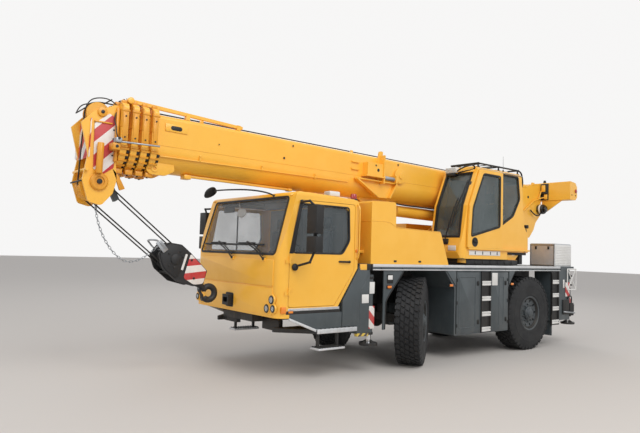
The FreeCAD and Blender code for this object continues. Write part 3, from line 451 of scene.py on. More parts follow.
def makeFinish(name, settings):
    # The common build of a painted, moulded or bare surface from its dictionary
    finish = bpy.data.materials.new(name)
    finish.use_nodes = True
    finish.diffuse_color = settings["colour"]
    tree = finish.node_tree
    surface = tree.nodes["Principled BSDF"]
    grain = placeGroup(tree, "grain", Patch_scale=settings.get("patchScale", 2.5),
                       Fine_scale=settings.get("fineScale", 120.0))
    edge = placeGroup(tree, "edge", Radius=settings.get("edgeRadius", 0.006))
    dust = placeGroup(tree, "dust", Reach=settings.get("dustReach", 1.6), Amount=settings.get("dust", 0.25))
    base = mixColour(tree, grain.outputs["Patches"], settings["colour"], settings["colourTwo"])
    speckled = mixColour(tree, addMath(tree, "MULTIPLY", grain.outputs["Speckle"], settings.get("speckle", 0.12)),
                         base, settings.get("speckColour", settings["colourTwo"]))
    worn = mixColour(tree, addMath(tree, "MULTIPLY", edge.outputs["Mask"], settings.get("wear", 0.3)),
                     speckled, settings.get("wearColour", settings["colourTwo"]))
    dusty = mixColour(tree, dust.outputs["Mask"], worn, settings.get("dustColour", shade(150, 140, 125)))
    tree.links.new(dusty, surface.inputs["Base Color"])
    low, high = settings.get("roughness", (0.35, 0.5))
    rough = addRange(tree, grain.outputs["Patches"], 0.0, 1.0, low, high)
    tree.links.new(addMath(tree, "ADD", rough, addMath(tree, "MULTIPLY", dust.outputs["Mask"], 0.35)),
                   surface.inputs["Roughness"])
    surface.inputs["Metallic"].default_value = settings.get("metal", 0.0)
    surface.inputs["Coat Weight"].default_value = settings.get("coat", 0.0)
    surface.inputs["Coat Roughness"].default_value = 0.15
    bump = addNode(tree, "ShaderNodeBump", in_Strength=settings.get("bump", 0.05), in_Distance=0.002)
    tree.links.new(grain.outputs["Height"], bump.inputs["Height"])
    tree.links.new(edge.outputs["Normal"], bump.inputs["Normal"])
    tree.links.new(bump.outputs["Normal"], surface.inputs["Normal"])
    return finish


finishTable = {
    "yellowPaint": {"colour": shade(252, 190, 66), "colourTwo": shade(249, 185, 58), "wearColour": shade(214, 150, 40),
                    "dust": 0.22, "dustReach": 1.5, "dustColour": shade(205, 165, 95), "roughness": (0.32, 0.42),
                    "coat": 0.35, "bump": 0.03, "speckle": 0.1},
    # The boom head's and collars' paint is a darker, more orange copy of the yellow paint: painted shade, with the dust
    # and wear masks on top
    "headShadedPaint": {"colour": shade(238, 166, 36), "colourTwo": shade(226, 152, 30), "wearColour": shade(150, 96, 24),
                  "dust": 0.5, "dustReach": 6.0, "dustColour": shade(168, 112, 40), "roughness": (0.35, 0.55),
                  "coat": 0.25, "bump": 0.05, "wear": 0.5, "speckle": 0.2},
    "greyPaint": {"colour": shade(72, 80, 83), "colourTwo": shade(66, 73, 76), "wearColour": shade(105, 112, 114),
                  "dust": 0.3, "dustReach": 1.3, "dustColour": shade(122, 120, 114), "roughness": (0.38, 0.52),
                  "coat": 0.15, "bump": 0.04, "wear": 0.25},
    "blackSteel": {"colour": shade(26, 27, 29), "colourTwo": shade(38, 38, 39), "wearColour": shade(92, 84, 74),
                   "dust": 0.35, "dustReach": 1.5, "dustColour": shade(104, 96, 84), "roughness": (0.45, 0.65),
                   "bump": 0.12, "wear": 0.4},
    "chassisBlack": {"colour": shade(34, 35, 37), "colourTwo": shade(46, 46, 46), "wearColour": shade(88, 82, 74),
                     "dust": 0.6, "dustReach": 1.8, "dustColour": shade(110, 102, 90), "roughness": (0.55, 0.75),
                     "bump": 0.15, "wear": 0.3},
    "bareAluminium": {"colour": shade(222, 223, 224), "colourTwo": shade(206, 208, 210), "metal": 0.4,
                      "wearColour": shade(226, 226, 226), "dust": 0.3, "dustReach": 2.4, "roughness": (0.32, 0.48),
                      "bump": 0.06, "fineScale": 220.0},
    "rodChrome": {"colour": shade(225, 226, 228), "colourTwo": shade(205, 206, 208), "metal": 1.0, "dust": 0.1,
                  "roughness": (0.12, 0.22), "bump": 0.01},
    "rubber": {"colour": shade(20, 21, 23), "colourTwo": shade(28, 29, 31), "wearColour": shade(52, 52, 52),
               "dust": 0.25, "dustReach": 1.2, "dustColour": shade(74, 73, 70), "roughness": (0.6, 0.8),
               "bump": 0.2, "fineScale": 160.0, "speckle": 0.3, "edgeRadius": 0.004},
    "rimPaint": {"colour": shade(70, 76, 80), "colourTwo": shade(60, 66, 69), "wearColour": shade(120, 124, 126),
                 "dust": 0.3, "dustReach": 1.8, "dustColour": shade(124, 118, 106), "roughness": (0.42, 0.6),
                 "bump": 0.08},
    "cabTrim": {"colour": shade(52, 54, 58), "colourTwo": shade(62, 64, 68), "dust": 0.1, "roughness": (0.6, 0.8),
                "bump": 0.2, "fineScale": 260.0},
    "lining": {"colour": shade(142, 142, 138), "colourTwo": shade(128, 128, 124), "dust": 0.05,
               "roughness": (0.8, 0.9), "bump": 0.2, "fineScale": 260.0},
    "seatCloth": {"colour": shade(40, 43, 50), "colourTwo": shade(56, 59, 66), "dust": 0.05, "roughness": (0.8, 0.95),
                  "bump": 0.45, "fineScale": 420.0, "speckle": 0.5},
    "gasket": {"colour": shade(18, 18, 19), "colourTwo": shade(28, 28, 28), "dust": 0.15, "roughness": (0.5, 0.7),
               "bump": 0.1},
    "gloss": {"colour": shade(14, 14, 15), "colourTwo": shade(20, 20, 21), "dust": 0.08, "roughness": (0.12, 0.2),
              "coat": 0.4, "bump": 0.02},
    "wireRope": {"colour": shade(60, 58, 56), "colourTwo": shade(38, 37, 36), "metal": 0.6, "dust": 0.2,
                 "roughness": (0.4, 0.55), "bump": 0.4, "fineScale": 300.0},
    "galvanised": {"colour": shade(178, 182, 186), "colourTwo": shade(150, 154, 158), "metal": 0.85,
                   "roughness": (0.35, 0.5), "dust": 0.2, "bump": 0.1},
    "signWhite": {"colour": shade(232, 231, 227), "colourTwo": shade(222, 220, 215), "roughness": (0.4, 0.5)},
    "amberLens": {"colour": shade(244, 140, 22), "colourTwo": shade(236, 126, 18), "roughness": (0.12, 0.2),
                  "coat": 0.8, "dust": 0.05},
    "redLens": {"colour": shade(176, 22, 20), "colourTwo": shade(158, 16, 16), "roughness": (0.12, 0.2),
                "coat": 0.8, "dust": 0.05},
    "mirrorGlass": {"colour": shade(190, 196, 200), "colourTwo": shade(184, 190, 194), "metal": 1.0,
                    "roughness": (0.03, 0.06), "bump": 0.0, "dust": 0.05},
}
finishes = {name: makeFinish(name, settings) for name, settings in finishTable.items()}


def makeGlass(name, colour, seeThrough):
    # Tinted pane: a share passes straight through, the rest is a dark glossy sheet
    glass = bpy.data.materials.new(name)
    glass.use_nodes = True
    glass.diffuse_color = (*colour[:3], 0.4)
    tree = glass.node_tree
    surface = tree.nodes["Principled BSDF"]
    grain = placeGroup(tree, "grain", Patch_scale=1.4, Fine_scale=30.0)
    tree.links.new(mixColour(tree, addMath(tree, "MULTIPLY", grain.outputs["Patches"], 0.3), colour,
                             shade(120, 128, 132)), surface.inputs["Base Color"])
    surface.inputs["Roughness"].default_value = 0.04
    surface.inputs["Specular IOR Level"].default_value = 0.7
    tree.links.new(addRange(tree, grain.outputs["Patches"], 0.0, 1.0, 1 - seeThrough, 1 - seeThrough + 0.06),
                   surface.inputs["Alpha"])
    return glass


finishes["windowGlass"] = makeGlass("windowGlass", shade(96, 106, 110), 0.72)
finishes["screenGlass"] = makeGlass("screenGlass", shade(176, 184, 187), 0.88)
finishes["craneGlass"] = makeGlass("craneGlass", shade(74, 88, 88), 0.45)
finishes["lampGlass"] = makeGlass("lampGlass", shade(200, 206, 208), 0.6)


def makeStripes(name, first, second, width, slope, axis):
    # Sloping warning bands cut by a saw of the place along two axes
    finish = bpy.data.materials.new(name)
    finish.use_nodes = True
    finish.diffuse_color = first
    tree = finish.node_tree
    surface = tree.nodes["Principled BSDF"]
    place = addNode(tree, "ShaderNodeTexCoord").outputs["Object"]
    parts = addNode(tree, "ShaderNodeSeparateXYZ")
    tree.links.new(place, parts.inputs[0])
    leaning = addMath(tree, "MULTIPLY", parts.outputs["Z"], slope)
    along = addMath(tree, "ADD", parts.outputs[axis], leaning)
    saw = addMath(tree, "FRACT", addMath(tree, "DIVIDE", along, width))
    band = addMath(tree, "GREATER_THAN", saw, 0.5)
    grain = placeGroup(tree, "grain", Patch_scale=6.0, Fine_scale=120.0)
    dust = placeGroup(tree, "dust", Reach=3.0, Amount=0.25)
    striped = mixColour(tree, band, first, second)
    faded = mixColour(tree, addMath(tree, "MULTIPLY", grain.outputs["Patches"], 0.12), striped, shade(196, 170, 160))
    tree.links.new(mixColour(tree, dust.outputs["Mask"], faded, shade(160, 148, 130)), surface.inputs["Base Color"])
    tree.links.new(addRange(tree, grain.outputs["Patches"], 0.0, 1.0, 0.35, 0.5), surface.inputs["Roughness"])
    return finish


warningRed = shade(196, 40, 44)
warningWhite = shade(236, 232, 226)
finishes["headStripes"] = makeStripes("headStripes", warningRed, warningWhite, 0.34, -0.9, "Y")
finishes["headSideStripes"] = makeStripes("headSideStripes", warningRed, warningWhite, 0.34, 1.0, "X")
finishes["blockStripes"] = makeStripes("blockStripes", warningRed, warningWhite, 2.0, 10.0, "X")
finishes["jackStripes"] = makeStripes("jackStripes", warningRed, warningWhite, 0.26, -1.0, "X")
finishes["edgeStripes"] = makeStripes("edgeStripes", shade(30, 30, 30), shade(222, 190, 60), 0.12, 1.0, "X")
print("finishes ready:", len(finishes))

cadFinish = {
    "yellow_paint": "yellowPaint", "dark_grey_paint": "greyPaint", "bare_aluminium": "bareAluminium",
    "tyre_rubber": "rubber", "rim_paint": "rimPaint", "clear_glass": "screenGlass", "cab_trim": "cabTrim",
    "lamp_plastic": "lampGlass", "cylinder_rod": "rodChrome", "black_steel": "blackSteel",
    "steel_rope": "wireRope",
}
slotOfNode = {row["node"]: row["material_slot"] for row in frame["record"]["subparts"]}
for node, piece in frame["nodes"].items():
    chosen = cadFinish.get(slotOfNode.get(node, ""), "chassisBlack")
    if node in ("chassis_frame", "axle_front", "axle_rear") or node.startswith("knuckle"):
        chosen = "chassisBlack"
    if node == "crane_cab_glass":
        chosen = "craneGlass"
    piece.data.materials.clear()
    piece.data.materials.append(finishes[chosen])


# Camera, floor and light

cameraView = {"place": (7.285 + stations["shift"], 7.861, 1.888), "yaw": -2.245, "pitch": 0.060, "roll": 0.0305,
              "lens": 32.39}


def placeCamera():
    yaw, pitch, roll = cameraView["yaw"], cameraView["pitch"], cameraView["roll"]
    forward = Vector((math.cos(pitch) * math.cos(yaw), math.cos(pitch) * math.sin(yaw), math.sin(pitch)))
    flatRight = Vector((math.sin(yaw), -math.cos(yaw), 0))
    flatUp = flatRight.cross(forward)
    right = math.cos(roll) * flatRight + math.sin(roll) * flatUp
    up = -math.sin(roll) * flatRight + math.cos(roll) * flatUp
    bpy.ops.object.camera_add(location=cameraView["place"])
    camera = bpy.context.active_object
    camera.name = "photoCamera"
    turn = Matrix((right, up, -forward)).transposed().to_4x4()
    camera.matrix_world = Matrix.Translation(cameraView["place"]) @ turn
    camera.data.sensor_width = 36
    camera.data.lens = cameraView["lens"]
    camera.data.clip_end = 300
    bpy.context.scene.camera = camera


def placeFloor():
    clearSelection()
    bpy.ops.mesh.primitive_plane_add(size=160, location=(0, 0, 0))
    floor = newPiece("floor")
    finish = bpy.data.materials.new("floorSurface")
    finish.use_nodes = True
    tree = finish.node_tree
    surface = tree.nodes["Principled BSDF"]
    surface.inputs["Roughness"].default_value = 0.85
    surface.inputs["Base Color"].default_value = shade(206, 200, 193)
    floor.data.materials.append(finish)


def placeLights():
    world = bpy.data.worlds.new("studio")
    bpy.context.scene.world = world
    world.use_nodes = True
    tree = world.node_tree
    sky = tree.nodes["Background"]
    sky.inputs["Color"].default_value = (0.93, 0.95, 1.0, 1)
    sky.inputs["Strength"].default_value = 0.62
    white = addNode(tree, "ShaderNodeBackground")
    white.inputs["Color"].default_value = (0.93, 0.925, 0.92, 1)
    white.inputs["Strength"].default_value = 1.0
    rays = addNode(tree, "ShaderNodeLightPath")
    seen = addMath(tree, "MAXIMUM", rays.outputs["Is Camera Ray"],
                   addMath(tree, "MAXIMUM", rays.outputs["Is Glossy Ray"], rays.outputs["Is Transmission Ray"]))
    mix = addNode(tree, "ShaderNodeMixShader")
    tree.links.new(seen, mix.inputs[0])
    tree.links.new(sky.outputs[0], mix.inputs[1])
    tree.links.new(white.outputs[0], mix.inputs[2])
    tree.links.new(mix.outputs[0], tree.nodes["World Output"].inputs["Surface"])
    lamps = [("keyLamp", (3.0, 13.0, 13.0), (0, 0, 1.5), 11.0, 1500.0), ("fillLamp", (16.0, 2.0, 9.0), (1, 0, 1.5), 9.0, 420.0),
             ("backLamp", (-12.0, -12.0, 11.0), (-1, 0, 1.5), 9.0, 380.0)]
    for name, place, aim, size, power in lamps:
        bpy.ops.object.light_add(type="AREA", location=place)
        lamp = bpy.context.active_object
        lamp.name = name
        lamp.rotation_euler = (Vector(aim) - Vector(place)).to_track_quat("-Z", "Y").to_euler()
        lamp.data.size = size
        lamp.data.energy = power
    bpy.context.scene.view_settings.view_transform = "Standard"


placeCamera()
placeFloor()
placeLights()
print("camera, floor and light ready")

# The wheels

wheelPlan = {
    "radius": 0.746, "lugDepth": 0.02, "pitches": 42, "seat": 0.318, "kingpinY": 1.05, "nuts": 10,
    "nutCircle": 0.178, "handHoles": 10, "holeCircle": 0.252, "holeRadius": 0.026,
}
wheelRows = [("front_left", -0.27, 1, 35), ("front_right", -0.27, -1, 28), ("rear_left", -3.6, 1, 0),
             ("rear_right", -3.6, -1, 0)]


def buildTyre():
    base = wheelPlan["radius"] - wheelPlan["lugDepth"]
    half = [(0.318, 0.2), (0.333, 0.203), (0.346, 0.212), (0.372, 0.217), (0.376, 0.2195), (0.384, 0.2195),
            (0.388, 0.2185), (0.43, 0.2225), (0.50, 0.2235), (0.556, 0.2235), (0.56, 0.226), (0.57, 0.226),
            (0.574, 0.2225), (0.62, 0.219), (0.66, 0.211), (0.69, 0.203), (0.71, 0.196), (base, 0.184), (base, 0.0)]
    profile = half + [(radius, -along) for radius, along in reversed(half[:-1])]
    carcass = addTurned("carcass", profile, "y", (0, 0, 0), 96)
    pitch = math.tau * wheelPlan["radius"] / wheelPlan["pitches"]
    blocks = []
    # Middle Y, half width, slant along the tread, shift round the tread, share of the pitch it fills
    for middle, width, slant, shift, fill in ((0.149, 0.034, 0.02, 0.1, 0.66), (0.076, 0.03, 0.035, 0.45, 0.68),
                                              (0.0, 0.034, 0.03, 0.0, 0.7), (-0.076, 0.03, 0.035, 0.55, 0.68),
                                              (-0.149, 0.034, 0.02, 0.0, 0.66)):
        run = pitch * fill / 2
        corners = [(-run - slant / 2, middle - width), (run - slant / 2, middle - width),
                   (run + slant / 2, middle + width), (-run + slant / 2, middle + width)]
        block = addPlate("block", corners, "z", base - 0.006, wheelPlan["radius"])
        pickPiece(block)
        bpy.ops.object.mode_set(mode="EDIT")
        bpy.ops.mesh.select_all(action="DESELECT")
        bpy.ops.object.mode_set(mode="OBJECT")
        for face in block.data.polygons:
            face.select = face.normal.z > 0.9
        bpy.ops.object.mode_set(mode="EDIT")
        bpy.ops.transform.resize(value=(0.9, 0.92, 1))
        bpy.ops.object.mode_set(mode="OBJECT")
        blocks.append(turnPiece(block, shift * 360 / wheelPlan["pitches"], "Y", (0, 0, 0)))
    for side in (-1, 1):
        shoulder = addBlock("shoulder", (-pitch * 0.3, pitch * 0.3), (side * 0.183, side * 0.206), (0.682, 0.741))
        turnPiece(shoulder, side * 14, "X", (0, side * 0.19, 0.712))
        blocks.append(shoulder)
    row = joinPieces("treadPitch", blocks)
    step = 360 / wheelPlan["pitches"]
    rows = [copyPiece(row, "treadPitch", turn=(step * n, "Y", (0, 0, 0))) for n in range(1, wheelPlan["pitches"])]
    return joinPieces("tyreModel", [carcass, row] + rows)


def buildRim():
    # The pressed disc with its hand holes, the barrel and the flanges
    profile = [(0.318, -0.2), (0.345, -0.2), (0.349, -0.206), (0.345, -0.216), (0.30, -0.216), (0.296, -0.15),
               (0.285, -0.02), (0.292, 0.1), (0.27, 0.13), (0.14, 0.125), (0.14, 0.085), (0.0604, 0.085),
               (0.0604, 0.19), (0.138, 0.19), (0.14, 0.15), (0.20, 0.152), (0.222, 0.148), (0.274, 0.166),
               (0.296, 0.165), (0.302, 0.178), (0.308, 0.2), (0.33, 0.207), (0.345, 0.216), (0.351, 0.21),
               (0.347, 0.2), (0.318, 0.2)]
    disc = addTurned("rimModel", profile, "y", (0, 0, 0), 72)
    cutters = []
    for n in range(wheelPlan["handHoles"]):
        angle = math.tau * n / wheelPlan["handHoles"]
        x, z = wheelPlan["holeCircle"] * math.cos(angle), wheelPlan["holeCircle"] * math.sin(angle)
        cutter = addTube("cutter", (x, 0.05, z), (x, 0.26, z), wheelPlan["holeRadius"], 20)
        cutters.append(cutter)
    cutter = joinPieces("cutter", cutters)
    applyModifier(disc, "BOOLEAN", operation="DIFFERENCE", object=cutter, solver="EXACT")
    bpy.data.objects.remove(cutter)
    return disc


def buildHub():
    pieces = [addTurned("hubCover", [(0.0, 0.16), (0.122, 0.16), (0.126, 0.19), (0.118, 0.203), (0.092, 0.209),
                                     (0.084, 0.226), (0.07, 0.234), (0.03, 0.236), (0.0, 0.236)], "y", (0, 0, 0), 40)]
    for n in range(wheelPlan["nuts"]):
        angle = math.tau * (n + 0.5) / wheelPlan["nuts"]
        x, z = math.cos(angle), math.sin(angle)
        circle = wheelPlan["nutCircle"]
        pieces.append(addTube("washer", (x * circle, 0.15, z * circle), (x * circle, 0.157, z * circle), 0.021, 16))
        pieces.append(addTube("nut", (x * circle, 0.156, z * circle), (x * circle, 0.181, z * circle), 0.0165, 6,
                              0.002))
        pieces.append(addTube("stud", (x * circle, 0.18, z * circle), (x * circle, 0.192, z * circle), 0.009, 10))
    for n in range(8):
        angle = math.tau * n / 8
        x, z = 0.105 * math.cos(angle), 0.105 * math.sin(angle)
        pieces.append(addTube("coverBolt", (x, 0.2, z), (x, 0.214, z), 0.008, 6))
    valve = addPath("valve", [(0.262, 0.16, 0), (0.275, 0.18, 0), (0.285, 0.2, 0), (0.288, 0.212, 0)], 0.006)
    return joinPieces("hubModel", pieces + [valve])


def placeWheels():
    # A black ring in the rim's well paints the shadow in its deep barrel; it takes the gasket finish and goes onto
    # every wheel as the ring pieces
    ring = addTurned("rimShadowRingModel", [(0.277, 0.168), (0.297, 0.168), (0.305, 0.18), (0.318, 0.2045),
                                       (0.311, 0.2055), (0.3, 0.184), (0.293, 0.173), (0.277, 0.1715)], "y",
                     (0, 0, 0), 72)
    models = {"ring": (ring, "gasket", "black_steel"), "tyre": (buildTyre(), "rubber", "tyre_rubber"),
              "rim": (buildRim(), "rimPaint", "rim_paint"), "hub": (buildHub(), "rimPaint", "rim_paint")}
    for place, x, side, steer in wheelRows:
        for kind, (model, finish, slot) in models.items():
            piece = copyPiece(model, kind + "Dressed_" + place)
            if side < 0:
                piece.data.transform(Matrix.Rotation(math.pi, 4, "Z"))
            if steer:
                piece.data.transform(Matrix.Rotation(math.radians(steer), 4, "Z"))
            piece.data.transform(Matrix.Translation((x, side * wheelPlan["kingpinY"], wheelPlan["radius"])))
            finishPiece(piece, finishes[finish], "wheel_" + place, 30)
            if kind in ("tyre", "rim"):
                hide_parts(kind + "_" + place)
    for model, _, _ in models.values():
        bpy.data.objects.remove(model)


placeWheels()
print("wheels dressed")


# The driver's cab outside

cabPlan = {
    "front": 2.69, "screenLow": 1.8, "screenLean": -15.95, "half": 1.25,
    "window": [(2.455, 1.86), (1.545, 1.86), (1.412, 2.06), (1.44, 2.555), (2.33, 2.555)],
}


def leanWithScreen(piece):
    return turnPiece(piece, cabPlan["screenLean"], "Y", (cabPlan["front"], 0, cabPlan["screenLow"]))


def dressScreen():
    front, low = cabPlan["front"], cabPlan["screenLow"]
    gasket = addFrame("screenGasket", [(-1.125, low + 0.008), (1.125, low + 0.008), (1.1, low + 0.915),
                                       (-1.1, low + 0.915)], "x", front - 0.004, front + 0.012, 0.034, 0.07, 0.003)
    leanWithScreen(gasket)
    arms = []
    # Pivot Y, blade middle Y
    for pivot, middle in ((-0.02, -0.55), (0.87, 0.33)):
        hub = addTube("wiperHub", (front - 0.01, pivot, low - 0.045), (front + 0.045, pivot, low - 0.045), 0.022, 20,
                      0.004)
        pair = [addPath("wiperArm", [(front + 0.04, pivot, low - 0.045 + gap),
                                     (front + 0.055, pivot - 0.1, low + 0.02 + gap),
                                     (front + 0.045, pivot - 0.34, low + 0.12 + gap),
                                     (front + 0.036, middle, low + 0.165 + gap)], 0.011) for gap in (0, 0.035)]
        blade = addBlock("wiperBlade", (front + 0.008, front + 0.032), (middle - 0.46, middle + 0.46),
                         (low + 0.145, low + 0.17), 0.004)
        holder = addBlock("wiperHolder", (front + 0.026, front + 0.044), (middle - 0.24, middle + 0.24),
                          (low + 0.165, low + 0.187), 0.004)
        arms.append(leanWithScreen(joinPieces("arm", pair + [blade, holder])))
        arms.append(hub)
    pads = [addBlock("wiperFoot", (front, front + 0.03), (pivot - 0.03, pivot + 0.03), (low - 0.085, low - 0.03),
                     0.006) for pivot in (-0.02, 0.87)]
    finishPiece(gasket, finishes["gasket"], "carrier")
    finishPiece(joinPieces("wipers", arms), finishes["gasket"], "carrier")
    finishPiece(joinPieces("wiperFeet", pads), finishes["yellowPaint"], "carrier")


def dressFront():
    front = cabPlan["front"]
    upper = addPlate("frontPressing", [(-1.1, 1.372), (1.1, 1.372), (1.1, 1.752), (-1.1, 1.752)], "x", front - 0.006,
                     front + 0.012, 0.025, 0.006)
    lower = addPlate("frontBumper", [(-1.1, 0.955), (1.1, 0.955), (1.1, 1.35), (-1.1, 1.35)], "x", front - 0.006,
                     front + 0.01, 0.025, 0.005)
    # A black plate on the bumper paints the shade inside the tow coupling's opening
    mouth = addPlate("couplingMouthShadow", [(-0.2, 0.985), (0.04, 0.985), (0.04, 1.205), (-0.2, 1.205)], "x",
                     front + 0.004, front + 0.013, 0.03, 0.003)
    finishPiece(upper, finishes["yellowPaint"], "carrier")
    finishPiece(lower, finishes["yellowPaint"], "carrier")
    finishPiece(mouth, finishes["gasket"], "carrier")
    bezels, bowls, lenses, ambers, rings = [], [], [], [], []
    for y, z, radius in ((1.096, 1.184, 0.047), (0.982, 1.053, 0.047), (1.136, 1.061, 0.04)):
        for side in (-1, 1):
            centre = (front, side * y, z)
            rings.append(addTurned("lampRing", [(radius + 0.012, 0.0), (radius + 0.034, 0.0), (radius + 0.03, 0.018),
                                                (radius + 0.018, 0.022), (radius + 0.012, 0.016)], "x", centre, 36))
            bezels.append(addTurned("bezel", [(radius + 0.014, -0.004), (radius + 0.014, 0.02), (radius + 0.006, 0.03),
                                              (radius - 0.003, 0.03), (radius - 0.003, 0.012), (radius - 0.003, -0.004)],
                                    "x", centre, 32))
            bowls.append(addTurned("bowl", [(0.0, 0.004), (radius * 0.5, 0.006), (radius - 0.003, 0.02),
                                            (radius - 0.001, 0.008), (radius - 0.001, 0.001), (0.0, 0.001)], "x",
                                   centre, 32))
            lenses.append(addTurned("lens", [(0.0, 0.0365), (radius * 0.6, 0.034), (radius - 0.004, 0.027),
                                             (radius - 0.004, 0.024), (radius * 0.6, 0.03), (0.0, 0.032)], "x",
                                    centre, 32))
    for side in (-1, 1):
        cluster = addBlock("cornerLamp", (front - 0.13, front - 0.05), (side * 1.215, side * 1.262), (1.0, 1.09), 0.008)
        ambers.append(cluster)
        ambers.append(addBlock("cornerLampLow", (front - 0.25, front - 0.17), (side * 1.24, side * 1.262),
                               (1.0, 1.06), 0.008))
    lampSet = joinPieces("headlampLenses", lenses)
    finishPiece(joinPieces("headlampRings", rings), finishes["yellowPaint"], "carrier")
    finishPiece(joinPieces("headlampBezels", bezels), finishes["gasket"], "carrier")
    finishPiece(joinPieces("headlampBowls", bowls), finishes["mirrorGlass"], "carrier")
    finishPiece(lampSet, finishes["lampGlass"], "carrier")
    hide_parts("front_lamps")
    finishPiece(joinPieces("cornerLamps", ambers), finishes["amberLens"], "carrier")


def dressCabDoors():
    half = cabPlan["half"]
    window = cabPlan["window"]
    wide = [(2.475, 1.842), (1.536, 1.842), (1.392, 2.055), (1.42, 2.575), (2.345, 2.575)]
    pane = addPlate("doorPane", window, "y", half - 0.03, half - 0.024, 0.03)
    pickPiece(pane)
    bpy.ops.object.mode_set(mode="EDIT")
    bpy.ops.mesh.select_all(action="SELECT")
    bpy.ops.transform.resize(value=(1.025, 1, 1.025))
    bpy.ops.object.mode_set(mode="OBJECT")
    gasket = addFrame("doorGasket", wide, "y", half - 0.045, half + 0.006, 0.022, 0.05, 0.003)
    inner = addBlock("guideBar", (1.92, 1.945), (half - 0.034, half - 0.02), (1.85, 2.56), 0.003)
    pillar = addPlate("windowPillar", [(2.46, 1.842), (2.535, 1.842), (2.375, 2.59), (2.33, 2.59)], "y", half - 0.002,
                      half + 0.004, 0.01, 0.001)
    trim = joinPieces("doorGaskets", [gasket, inner, pillar])
    recess = addPlate("handleCup", [(1.385, 1.722), (1.615, 1.722), (1.615, 1.75), (1.385, 1.75)], "y", half - 0.002,
                      half + 0.003, 0.012, 0.001)
    grip = addPath("handleGrip", [(1.39, half, 1.737), (1.395, half + 0.026, 1.737), (1.44, half + 0.03, 1.737),
                                  (1.56, half + 0.03, 1.737), (1.605, half + 0.026, 1.737), (1.61, half, 1.737)], 0.01)
    lock = addBall("lock", (1.405, half + 0.012, 1.737), 0.02)
    handle = joinPieces("doorHandles", [recess, grip, lock])
    return {"doorPanes": (pane, "windowGlass", "clear_glass"), "doorGaskets": (trim, "gasket", "cab_trim"),
            "doorHandles": (handle, "gasket", "cab_trim")}


mirrorPlan = {"x": (2.306, 2.414), "y": (1.501, 1.714), "heads": ((2.126, 2.519), (1.868, 2.09)),
              "arm": (2.36, 1.6075), "bar": 0.0165}


def dressMirrors():
    (back, front), (near, far) = mirrorPlan["x"], mirrorPlan["y"]
    armX, armY = mirrorPlan["arm"]
    bar = mirrorPlan["bar"]
    heads, glass, arms = [], [], []
    for low, high in mirrorPlan["heads"]:
        heads.append(addPlate("mirrorHead", [(back, near - 0.004), (front + 0.02, near - 0.004),
                                             (front + 0.02, far + 0.014), (back, far + 0.014)], "z", low, high, 0.018,
                              0.006))
        glass.append(addPlate("mirrorGlass", [(near + 0.016, low + 0.02), (far - 0.016, low + 0.02),
                                              (far - 0.016, high - 0.02), (near + 0.016, high - 0.02)],
                              "x", back - 0.006, back + 0.002, 0.015, 0.001))
    high = [(2.34, 1.225, 2.585), (2.425, 1.545, 2.58), (armX, armY, 2.5)]
    low = [(2.44, 1.225, 1.65), (2.41, 1.5675, 1.73), (armX, armY, 1.89)]
    for rows in (high, low, [(armX, armY, 2.06), (armX, armY, 2.16)]):
        for n in range(len(rows) - 1):
            arms.append(addTube("mirrorArm", rows[n], rows[n + 1], bar, 18))
    for corner in (high[1], low[1]):
        arms.append(addBall("elbow", corner, bar + 0.004))
    arms.append(addTube("collar", (armX, armY, 2.092), (armX, armY, 2.124), bar + 0.01, 20, 0.004))
    arms.append(addBall("footBall", (2.44, 1.268, 1.65), 0.052, (1, 0.75, 1)))
    arms.append(addTube("footHigh", (2.34, 1.245, 2.585), (2.34, 1.262, 2.585), 0.034, 20, 0.004))
    return {"mirrorHeads": (joinPieces("mirrorHeads", heads), "gasket", "cab_trim"),
            "mirrorArms": (joinPieces("mirrorArms", arms), "gasket", "black_steel"),
            "mirrorPanes": (joinPieces("mirrorPanes", glass), "mirrorGlass", "clear_glass")}


def placeDoorDress():
    rows = dressCabDoors()
    rows.update(dressMirrors())
    for name, (piece, finish, slot) in rows.items():
        twin = mirrorPiece(piece, name + "_right")
        piece.name = name + "_left"
        finishPiece(piece, finishes[finish], "cab_door_left")
        finishPiece(twin, finishes[finish], "cab_door_right")


def dressCabSides():
    half = cabPlan["half"]
    sills, blacks, lamps, bars = [], [], [], []
    for side in (-1, 1):
        y = (side * (half - 0.004), side * (half + 0.012))
        sills.append(addBlock("sill", (1.585, 2.53), y, (1.03, 1.068), 0.004))
        for n in range(3):
            sills.append(addBlock("sillRib", (1.59, 2.525), (side * (half + 0.01), side * (half + 0.016)),
                                  (1.036 + n * 0.011, 1.041 + n * 0.011)))
        blacks.append(addBlock("sillBack", (1.57, 2.56), (side * (half - 0.004), side * (half + 0.004)),
                               (0.985, 1.03), 0.002))
        lamps.append(addBlock("flankLamp", (1.245, 1.285), (side * (half - 0.002), side * (half + 0.016)),
                              (1.88, 1.93), 0.008))
        bars.append(addPath("grabBar", [(1.255, side * half, 1.78), (1.255, side * (half + 0.05), 1.79),
                                        (1.255, side * (half + 0.055), 1.95), (1.255, side * (half + 0.055), 2.45),
                                        (1.255, side * (half + 0.05), 2.61), (1.255, side * half, 2.62)], 0.011))
    rail = []
    for side in (-1, 1):
        rail.append(addPath("gutter", [(1.25, side * 1.16, 2.7), (1.8, side * 1.165, 2.722),
                                       (2.33, side * 1.165, 2.745), (2.47, side * 1.14, 2.68)], 0.012))
    finishMany([("sillStrips", sills, finishes["bareAluminium"], "bare_aluminium"),
                ("sillBacks", blacks, finishes["gasket"], "cab_trim"),
                ("flankLamps", lamps, finishes["amberLens"], "lamp_plastic"),
                ("grabBars", bars, finishes["yellowPaint"], "yellow_paint"),
                ("roofGutters", rail, finishes["yellowPaint"], "yellow_paint")], "carrier")


